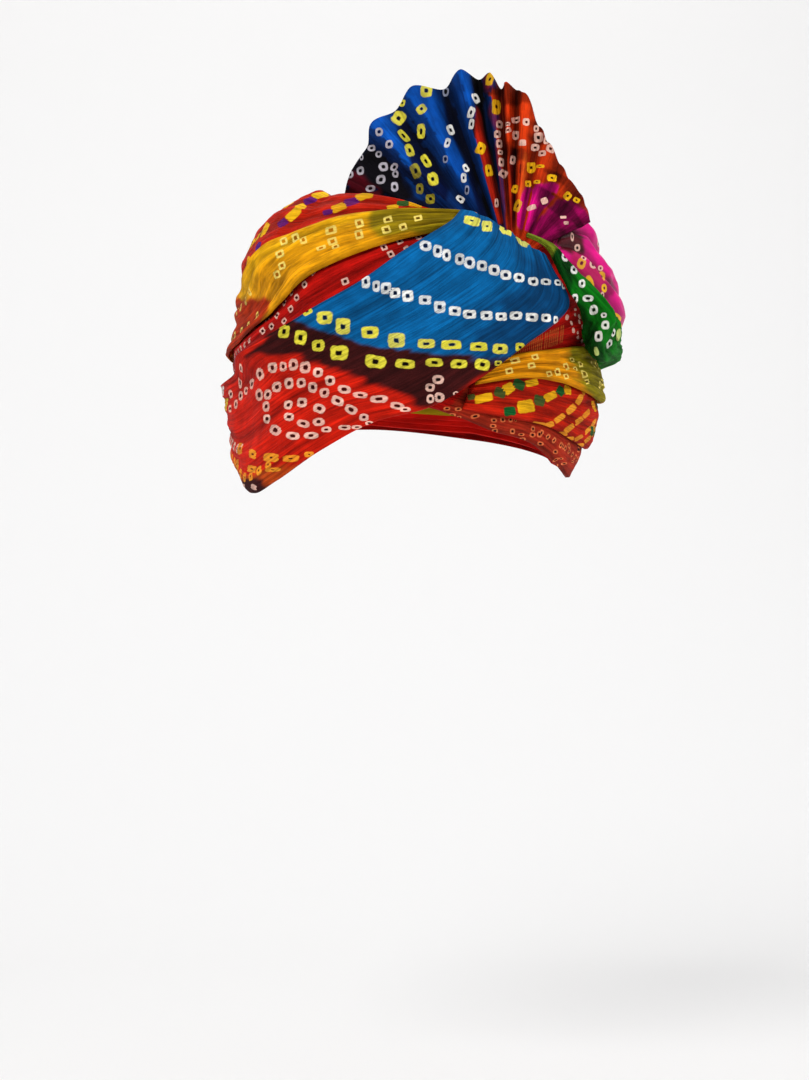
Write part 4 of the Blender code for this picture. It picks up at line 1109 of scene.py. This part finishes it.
pile = WoundPile()
seatedWraps = [topWrap, rimWrap, dottedWrap, checkedWrap, yellowWrap, blueWrap, sideDrape]
made = {}
for seed, wrap in enumerate(seatedWraps):
    made[wrap["name"]] = makeWrap(pile, wrap, 10.0 * seed)
    print("made", wrap["name"])


# The hidden turns and the first layer over the head
hidden = {"stations": 168, "rings": 22, "turns": 3, "stepBack": 0.066, "stepRings": 6, "gap": 0.0005,
          "domeRings": 12, "domeTop": 89.5, "clothScale": 0.0017}


def hiddenGrid():
    bearing = np.linspace(-180, 180, hidden["stations"], endpoint=False)
    low, high = rimValue("edgeRise", bearing), rimValue("wellRise", bearing)
    rise = low[:, None] + (high - low)[:, None] * np.linspace(0, 1, hidden["rings"])
    return np.repeat(bearing[:, None], hidden["rings"], axis=1), rise


def stoodBack(grid, turnsOutside):
    rings = hidden["stepRings"]
    step = (grid[:, rings] - grid[:, 0])[:, None] * hidden["stepBack"] * turnsOutside
    return grid + step * np.clip(1 - np.arange(grid.shape[1]) / rings, 0, 1)[None, :, None]


def plainDress(piece, color, finish):
    mesh = piece.data
    bearing, rise, _ = polarOf(pointsOf(mesh))
    setColor(mesh, "ground", "POINT", np.repeat([color], len(mesh.vertices), axis=0))
    place = np.stack([bearing, rise], axis=-1) * hidden["clothScale"]
    setUv(mesh, "cloth", place[cornersOf(mesh)])
    drawSpots(piece, TiedSpots())
    mesh.materials.append(finish)


bearing, rise = hiddenGrid()
start = headRadius(bearing, rise) + pileForm["crownWall"] + hidden["gap"]
room = pileRadius(bearing, rise) - start
for number in range(hidden["turns"]):
    outside = hidden["turns"] - 1 - number
    inner = start + room * number / hidden["turns"]
    outer = start + room * (number + 1) / hidden["turns"] - (hidden["gap"] if outside else 0)
    name = f"under_wrap_{number + 1}"
    outerPoints = leaned(stoodBack(pointsAt(bearing, rise, outer), outside))
    innerPoints = leaned(stoodBack(pointsAt(bearing, rise, inner), outside))
    made[name] = makeShell(name, outerPoints, innerPoints, ring=True)
    plainDress(made[name], colors["red"], finishes["plain"])

extra = np.linspace(0, 1, hidden["domeRings"])[1:-1]
last = rise[:, -1:]
crownRise = np.concatenate([rise, last + (hidden["domeTop"] - last) * extra], axis=1)
crownBearing = np.repeat(bearing[:, :1], crownRise.shape[1], axis=1)
inside = headRadius(crownBearing, crownRise)
domes = []
for radius in (inside + pileForm["crownWall"], inside):
    dome = leaned(stoodBack(pointsAt(crownBearing, crownRise, radius), hidden["turns"]))
    dome[:, -1] = dome[:, -1].mean(axis=0)  # the last ring closes to a point
    domes.append(dome)
made["crown_cloth"] = makeShell("crown_cloth", *domes, ring=True)
plainDress(made["crown_cloth"], colors["olive"], finishes["plain"])
print("made the hidden turns")

# The standing fan
fan = {
    "height": 0.114, "throat": (41.5, 40.5, 0.109), "stem": (34.5, 31.5, 0.0985),
    "stemWidth": 0.020, "stemThickness": 0.007, "turn": 24.0, "lean": 6.0,
    "pleatDepth": 0.013, "cloth": 0.0024, "sweep": 0.50, "sweepStart": 75.0,
    "perPleat": 13, "stations": 110, "stemStations": 12, "rootNarrows": 0.8, "crinkle": 0.0016,
    "valleyShade": 0.82, "crestLight": 0.30, "crossShade": 0.62, "crossDepth": 0.0016,
    "crossSpacing": 0.0042, "crossBeyond": (103, 98), "crossAbove": (0.45, 0.62),
}
# A row for each crest, valley or edge, from the wearer's right to the left: its direction, its
# share of the fan's height, and how far it stands forward, 1 on a crest
pleatRows = [
    (160, 0.97, -0.5), (151, 0.98, 0.2), (143, 0.99, -0.3), (136, 1.035, 0.9), (129, 1.02, -0.5),
    (121, 1.055, 0.6), (113, 0.98, -0.7), (106, 1.02, 0.9), (102, 0.97, -1.0), (98, 0.98, 0.3),
    (95.5, 0.9, -0.8), (92.5, 0.91, 0.8), (90, 0.885, -0.6), (86, 0.85, 1.0), (80, 0.7, -0.5),
    (73, 0.62, 0.5), (65, 0.545, -0.6), (56, 0.5, 0.3), (47, 0.48, -0.4), (37, 0.455, 0.4),
    (29, 0.43, -0.4),
]


def makeFan():
    turn, lean = math.radians(fan["turn"]), math.radians(fan["lean"])
    across = np.array([math.cos(turn), -math.sin(turn), 0.0])
    back = np.array([math.sin(turn), math.cos(turn), 0.0])
    upward = np.array([0.0, 0.0, 1.0])
    up = math.cos(lean) * upward + math.sin(lean) * back
    facing = math.sin(lean) * upward - math.cos(lean) * back
    throat, stem = pointsAt(*fan["throat"]), pointsAt(*fan["stem"])
    table = np.array(pleatRows, float)
    columns = (len(table) - 1) * fan["perPleat"] + 1
    place = np.linspace(0, len(table) - 1, columns)
    k = np.clip(np.floor(place).astype(int), 0, len(table) - 2)
    t = (place - k)[:, None]
    eased = t * t * (3 - 2 * t)
    direction = np.radians(table[k, :1] * (1 - t) + table[k + 1, :1] * t)[:, 0]
    reach = (table[k, 1:2] * (1 - eased) + table[k + 1, 1:2] * eased)[:, 0]
    stand = (table[k, 2:] * (1 - eased) + table[k + 1, 2:] * eased)[:, 0]
    share = place / (len(table) - 1) - 0.5
    root = across * share[:, None] * fan["stemWidth"]
    spoke = np.cos(direction)[:, None] * across + np.sin(direction)[:, None] * up
    swept = np.clip(fan["sweepStart"] - np.degrees(direction), 0, None) / fan["sweepStart"]
    parts = np.linspace(0, 1, fan["stations"])[:, None, None]
    length = fan["height"] * reach[:, None] * parts
    crinkle = clothNoise(place[:, None] * 1.7, length / 0.006, 3.0) - 0.5
    crinkle = crinkle + 0.6 * (clothNoise(place[:, None] * 4, length / 0.02, 8.0) - 0.5)
    stands = fan["pleatDepth"] / 2 * stand[:, None] * parts + fan["crinkle"] * crinkle * parts
    # Fine cross crinkles on the crumpled side
    ridges = clothNoise(place[:, None] * 0.55, length / fan["crossSpacing"], 12.0)
    crumpled = softStep(*fan["crossBeyond"], np.degrees(direction))[:, None]
    crumpled = crumpled * softStep(*fan["crossAbove"], parts)
    stands = stands - fan["crossDepth"] * ridges * crumpled
    bend = fan["sweep"] * swept[:, None] * length * parts
    foot = root * fan["rootNarrows"]
    blades = throat + foot * (1 - parts) + spoke * length + facing * (stands - bend)
    stemPart = np.linspace(0, 1, fan["stemStations"])[:-1, None, None]
    stems = (stem + root) * (1 - stemPart) + (throat + foot) * stemPart
    middle = np.concatenate([stems, blades])
    thickness = np.concatenate([1 - 0.1 * stemPart, np.clip(0.9 - 4.5 * parts, 0, 1)])
    half = (fan["cloth"] + (fan["stemThickness"] - fan["cloth"]) * thickness) / 2
    # Painted shade in the pleats' valleys and painted light on their crests, then painted shade in the
    # cross crinkles, all multiplied into the ground colour
    valley = fan["valleyShade"] * (1 - softStep(-0.75, 0.45, stand))[None]
    crest = fan["crestLight"] * softStep(0.2, 0.8, stand)[None]
    shade = 1 + (crest - valley) * softStep(0.05, 0.30, parts[..., 0])
    dark = crumpled[..., 0] * softStep(0.35, 0.62, ridges[..., 0])
    shade = shade * (1 - fan["crossShade"] * dark)
    shade = np.concatenate([np.repeat(shade[:1], len(stems), axis=0), shade])
    return middle + facing * half, middle - facing * half, shade[..., None]


fanLook = {
    "finish": finishes["crinkled"],
    "bands": [(0, colors["black"]), (0.22, colors["deepBlue"]), (0.42, colors["deepBlue"]),
              (0.5, colors["rust"]), (0.6, colors["orangeRed"]), (1, colors["orangeRed"])],
    # The brightBlue and navy strips along the blue pleats paint the same blue lighter on the pleat faces
    # and darker in the creases: painted light and painted shade. The thin darkRed strip between the orange
    # strips is painted shade in a crease.
    "zones": [
        ([(330, 200), (340, 182), (352, 167), (364, 150), (369, 134), (382, 134), (391, 149),
          (398, 162), (403, 180), (408, 200)], colors["black"], 6),
        ([(336, 196), (342, 180), (352, 172), (368, 180), (378, 196)], colors["maroon"], 7),
        ([(374, 130), (374, 116), (392, 108), (404, 128), (416, 150), (430, 172), (440, 190),
          (420, 200), (404, 176), (392, 148)], colors["brightBlue"], 5),
        ([(397, 129), (412, 121), (428, 136), (438, 168), (449, 190), (438, 204), (417, 180),
          (408, 150)], colors["navy"], 5),
        ([(404, 98), (420, 84), (440, 82), (446, 110), (455, 140), (466, 165), (468, 180),
          (450, 172), (436, 150), (425, 120)], colors["brightBlue"], 6),
        ([(442, 84), (450, 84), (452, 103), (465, 136), (469, 163), (458, 147), (447, 125)],
         colors["navy"], 4),
        ([(450, 90), (452, 76), (468, 66), (474, 84), (473, 104), (462, 108), (452, 104)],
         colors["brightBlue"], 5),
        ([(453, 110), (470, 108), (470, 129), (472, 157), (478, 185), (489, 216), (478, 216),
          (468, 176), (462, 146)], colors["navy"], 4),
        ([(470, 72), (478, 70), (489, 72), (490, 92), (484, 108), (488, 130), (496, 165),
          (503, 205), (508, 222), (490, 222), (480, 185), (471, 157), (470, 129), (475, 109)],
         colors["black"], 4),
        ([(475, 108), (481, 115), (486, 138), (493, 170), (503, 215), (497, 222), (490, 195),
          (482, 170), (477, 140)], colors["rust"], 3),
        ([(489, 92), (498, 87), (520, 86), (525, 95), (534, 114), (532, 128), (530, 152),
          (516, 152), (506, 150), (503, 130), (500, 115), (493, 114)], colors["orangeRed"], 3),
        ([(499, 118), (505, 135), (508, 160), (511, 190), (511, 226), (507, 226), (505, 195),
          (500, 165), (496, 140)], colors["orangeRed"], 2),
        ([(509, 152), (520, 153), (521, 180), (517, 200), (514, 226), (511, 226), (511, 190)],
         colors["darkRed"], 3),
        ([(523, 152), (528, 156), (527, 175), (522, 200), (519, 226), (515, 226), (517, 200),
          (521, 178)], colors["orange"], 2),
        ([(530, 160), (545, 158), (560, 160), (564, 172), (560, 182), (530, 184)],
         colors["orangeRed"], 4),
        ([(524, 190), (535, 185), (555, 183), (558, 188), (552, 200), (540, 214), (529, 230),
          (517, 225), (519, 205)], colors["hotPink"], 2),
        ([(552, 205), (562, 200), (575, 202), (590, 215), (605, 240), (560, 250), (530, 232)],
         colors["wine"], 4),
    ],
    "charted": [
        {"tint": "grayWhite", "heart": 0.40, "square": 0.15, "half": (4.3, 4.5), "spots": [
            (368, 136, 2, 3.5), (378, 134, 4, 4.5), (374, 145, 4.3, 3.5), (385, 144, 4.3, 4.3),
            (393, 154, 3.8, 4.5, -35), (379, 153, 3.5, 3.5), (362, 157, 2, 3.5), (361, 171, 4, 4.8),
            (383, 167, 5.3, 5), (396, 165, 3.8, 4.5, -25), (396, 174, 3.5, 4), (380, 180, 5.3, 5.2),
            (395, 187, 4, 5.5), (373, 189, 5.3, 3.6), (350, 174, 3.8, 4.2)]},
        {"tint": "yellow", "heart": 0.30, "square": 0.35, "half": (5, 7.5), "spots": [
            (427, 91, 6.2, 7.3), (421, 109, 5.4, 4.8, 35), (421, 127, 4.4, 8), (399, 118, 7, 7.5, -35),
            (402, 103, 3, 4, -20), (404, 135, 3.6, 8, 40), (410, 150, 4.6, 7.5, 20),
            (426, 161, 4.2, 7.5, 28), (433, 179, 5.6, 7.6, 15)]},
        {"tint": "olive", "heart": 0.32, "square": 0.35, "half": (5, 7), "spots": [
            (415, 172, 5, 8, 20), (422, 189, 4, 5.5), (431, 199, 5, 5.3)]},
        {"tint": "white", "heart": 0.34, "square": 0.3, "half": (4, 5.5), "spots": [
            (451, 130, 3.8, 5.6, 20), (448, 143, 3, 5.5, -15), (466, 168, 3, 4.6, 25),
            (464, 178, 3.2, 5.4), (460, 199, 5, 3.4, -40), (475, 98, 3.8, 5.8, 25),
            (471, 112, 3.8, 6.2, -18), (467, 126, 2.8, 5.5, -10)]},
        {"tint": "dimWhite", "heart": 0.5, "square": 0.2, "half": (3.4, 5), "spots": [
            (446, 91), (445, 158, 2.6, 4), (467, 190, 2.4, 5)]},
        {"tint": "gold", "heart": 0.25, "square": 0.4, "half": (4.5, 7), "spots": [
            (490, 79, 4, 7, -15), (496, 106, 4.8, 8), (481, 148, 5, 6.6, -25), (489, 170, 4, 6.4, 8),
            (517, 206, 3.6, 6.4, -20), (516, 190, 3.4, 4.6, -15), (531, 168, 5, 6),
            (552, 178, 5.6, 3.8), (540, 166, 5, 1.8), (528, 184, 3.4, 3.4), (537, 182, 3.4, 2),
            (568, 196, 4, 4.6, -40), (577, 200, 3.6, 2.8, -30)]},
        {"tint": "pinkWhite", "heart": 0.32, "square": 0.3, "half": (3.8, 4.5), "spots": [
            (499, 124), (498, 134, 3.6, 4.2), (499, 144, 3.6, 4.4), (500, 152, 2.8, 2.8),
            (501, 162, 3.2, 4.8), (503, 174, 4.6, 4.6, -35), (497, 203, 2.2, 5),
            (517, 121, 5.6, 3.2, 12), (526, 122, 3.8, 3.8), (506, 123, 3.6, 2.2),
            (508, 130, 4, 2.8, 20), (516, 135, 3.8, 4.8), (513, 160, 3, 5, -10), (538, 138, 5, 5.6),
            (535, 147, 4.4, 4), (545, 139, 2.8, 4), (551, 149, 4.8, 4.2, -20), (541, 153, 4.2, 3.2),
            (536, 128, 2.8, 3.8)]},
        {"tint": "pinkWhite", "heart": 0.0, "square": 0.4, "half": (4, 3.4), "spots": [
            (523, 143, 4.2, 3.2), (544, 201, 3.8, 3.4, 20), (531, 208, 5.2, 2.6, 22),
            (563, 217, 3.2, 1.7), (566, 223, 2.8, 1.8)]},
    ],
    "alongCloth": [],
}
fanOuter, fanInner, fanShade = makeFan()
made["pleated_fan"] = makeShell("pleated_fan", fanOuter, fanInner)
dressGrid(made["pleated_fan"], fanOuter, fromPile(fanOuter), fanLook, fanShade, 80.0)
print("made pleated_fan")

# The twisted roll, its rows the bearing, the rise and the share of its radius along it
roll = {
    "radius": 0.0085, "sides": 60, "lobes": 3, "lobeDepth": 0.17, "twist": 3.2, "stations": 300,
    "wrinkle": 0.05, "creaseShade": 0.5, "seat": 0.9, "smoothing": 13,
    "rows": [
        (35, 38.5, 0.15), (41, 36, 0.20), (45, 32.5, 0.36), (46, 27, 0.62), (45.5, 20.5, 0.88),
        (49, 15.5, 1.05), (54.5, 10.8, 1.0), (62, 8.2, 0.85), (78, 8, 0.6), (100, 6.5, 0.45),
        (130, 3.5, 0.45), (158, 0.5, 0.4), (182, -1, 0.3),
    ],
}


def makeRoll(pile):
    route = smoothRows(roll["rows"], roll["stations"])
    bearing, rise, size = route[:, 0], route[:, 1], route[:, 2] * roll["radius"]
    highest = pile.read(pile.around(pile.reach, 3, np.max), bearing, rise)
    margin = roll["smoothing"]
    window = 2 * margin + 1
    padded = np.pad(highest, margin, mode="edge")
    reach = np.max([padded[k:k + len(highest)] for k in range(window)], axis=0)
    reach = np.convolve(np.pad(reach, margin, mode="edge"), np.ones(window) / window, mode="valid")
    centre = pointsAt(bearing, rise, reach + size * roll["seat"])
    alongRoute = np.gradient(centre, axis=0)
    alongRoute /= np.linalg.norm(alongRoute, axis=1)[:, None]
    outward = directions(bearing, rise)
    outward = outward - alongRoute * (outward * alongRoute).sum(axis=1)[:, None]
    outward /= np.linalg.norm(outward, axis=1)[:, None]
    sideways = np.cross(alongRoute, outward)
    place = np.linspace(0, 1, roll["stations"])[:, None]
    angle = np.linspace(0, 2 * math.pi, roll["sides"], endpoint=False)[None]
    turned = angle - 2 * math.pi * roll["twist"] * place / roll["lobes"]
    lobe = np.cos(roll["lobes"] * turned)
    crumple = clothNoise(place * 60 + 0 * angle, angle * 5 + 20 * place, 60.0) - 0.5
    wrinkle = roll["wrinkle"] * (np.cos(11 * turned + 3 * np.sin(9 * place)) + 1.6 * crumple)
    radius = size[:, None] * (1 + roll["lobeDepth"] * lobe + wrinkle)
    around = np.cos(angle)[..., None] * outward[:, None] + np.sin(angle)[..., None] * sideways[:, None]
    rings = centre[:, None] + radius[..., None] * around
    return leaned(centre), leaned(rings), lobe + 2 * crumple


# A closed tube through rings of points, with a middle point at each end
def makeTube(name, centre, rings):
    count, sides = rings.shape[:2]
    i, j = np.arange(count - 1)[:, None] * sides, np.arange(sides)[None]
    j2 = (j + 1) % sides
    tube = np.stack([i + j, i + sides + j, i + sides + j2, i + j2], axis=-1).reshape(-1, 4)
    ends = []
    for middle, first, turned in ((count * sides, 0, 1), (count * sides + 1, (count - 1) * sides, -1)):
        for side in range(0, sides, 2):
            quad = (middle, first + side, first + (side + 1) % sides, first + (side + 2) % sides)
            ends.append(quad[::turned])
    points = np.concatenate([rings.reshape(-1, 3), centre[[0, -1]]])
    return makeMesh(name, points, np.concatenate([tube, np.array(ends)])[:, ::-1])


rollLook = {
    "finish": finishes["crinkled"], "bands": [(0, colors["green"]), (1, colors["green"])],
    "zones": [
        ([(520, 225), (545, 228), (562, 240), (566, 256), (548, 258), (520, 245)], colors["lime"], 5),
        ([(552, 252), (566, 250), (573, 270), (570, 296), (560, 290), (552, 270)],
         colors["darkGreen"], 4),
        ([(572, 300), (584, 304), (598, 335), (606, 362), (592, 356), (578, 325)],
         colors["darkGreen"], 5)],
    "charted": [
        {"tint": "white", "heart": 0.36, "square": 0.2, "half": (4, 5), "spots": [
            (567, 255, 3.5, 5.5), (574, 269, 3.5, 5), (575, 299, 3.3, 5), (588, 298, 5.5, 3.4),
            (594, 310, 4.3, 5), (605, 325, 4.3, 4.5), (599, 337, 4.2, 5.5), (609, 344, 3.4, 5),
            (613, 333, 2.4, 4), (582, 284, 3.6, 4.4), (604, 315, 3, 2.6)]},
        {"tint": "paleGreen", "heart": 0.0, "square": 0.2, "half": (3, 6), "spots": [
            (619, 335, 3, 6), (596, 352, 2.4, 5, 20)]},
    ],
    "alongCloth": [],
}
rollCentre, rollRings, rollRelief = makeRoll(pile)
made["green_roll"] = makeTube("green_roll", rollCentre, rollRings)
# Painted shade in the hollows of the roll's lobes and crumples, multiplied into its ground colour
rollShade = creaseShade(rollRelief, roll["creaseShade"])
dressGrid(made["green_roll"], rollRings, rollRings - rollCentre[:, None], rollLook, rollShade, 90.0)
print("made green_roll")

for name, piece in made.items():
    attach(piece, "root")
    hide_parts(name)

# Stage
stage = {"floorHeight": -0.42, "floorColor": (0.86, 0.85, 0.84), "backDistance": 1.6,
         "frontDistance": 4.0, "bendRadius": 0.9, "bendSteps": 24, "height": 5.0, "halfWidth": 5.0}


def makeSweep():
    radius, back, wide = stage["bendRadius"], stage["backDistance"], stage["halfWidth"]
    line = [(-stage["frontDistance"], 0.0)]
    for angle in np.linspace(0, math.pi / 2, stage["bendSteps"]):
        line.append((back - radius + radius * math.sin(angle), radius * (1 - math.cos(angle))))
    line.append((back, stage["height"]))
    points = np.array([(x, y, z + stage["floorHeight"]) for y, z in line for x in (-wide, wide)])
    start = np.arange(len(line) - 1) * 2
    return makeMesh("sweep", points, np.stack([start, start + 1, start + 3, start + 2], axis=-1))


sweep = makeSweep()
pale = bpy.data.materials.new("pale")
pale.use_nodes = True
tree = pale.node_tree
paint = tree.nodes["Principled BSDF"]
paint.inputs["Base Color"].default_value = (*stage["floorColor"], 1)
paint.inputs["Roughness"].default_value = 0.9
# Seen from behind, the sweep is clear
side = tree.nodes.new("ShaderNodeNewGeometry")
clear = tree.nodes.new("ShaderNodeBsdfTransparent")
either = tree.nodes.new("ShaderNodeMixShader")
tree.links.new(side.outputs["Backfacing"], either.inputs[0])
tree.links.new(paint.outputs[0], either.inputs[1])
tree.links.new(clear.outputs[0], either.inputs[2])
tree.links.new(either.outputs[0], tree.nodes["Material Output"].inputs[0])
sweep.data.materials.append(pale)

# Name, place, size and power of each light, all turned to the turban's middle
middle = Vector((0, 0, 0.06))
lights = [
    ("key", (-1.1, -1.8, 1.5), 0.9, 34.0), ("fill", (1.8, -1.5, 0.4), 1.6, 14.0),
    ("back", (0.4, 0.9, 1.6), 1.0, 12.0),
]
for name, spot, size, power in lights:
    light = bpy.data.lights.new(name, "AREA")
    light.size = size
    light.energy = power
    lamp = bpy.data.objects.new(name, light)
    lamp.location = spot
    lamp.rotation_euler = (middle - Vector(spot)).to_track_quat("-Z", "Y").to_euler()
    bpy.context.scene.collection.objects.link(lamp)
world = bpy.data.worlds.new("pale")
bpy.context.scene.world = world
world.use_nodes = True
world.node_tree.nodes["Background"].inputs["Color"].default_value = (0.95, 0.97, 1.0, 1.0)
world.node_tree.nodes["Background"].inputs["Strength"].default_value = 0.55
bpy.context.scene.view_settings.view_transform = "Standard"

# The chart's own viewpoint, with a portrait frame's longer side across the sensor
right, upward, towards = chartAxes()
across, eyeHeight = chartMiddle()
camera = bpy.data.cameras.new("camera")
camera.lens = camera.sensor_width * chart["distance"] / (chart["height"] * chart["metresPerPixel"])
eye = bpy.data.objects.new("camera", camera)
eye.location = tuple(towards * chart["distance"] + right * across + upward * eyeHeight)
eye.rotation_euler = (math.pi / 2, 0, math.radians(chart["azimuth"]))
bpy.context.scene.collection.objects.link(eye)
bpy.context.scene.camera = eye
print("made the stage, the lights and the camera")
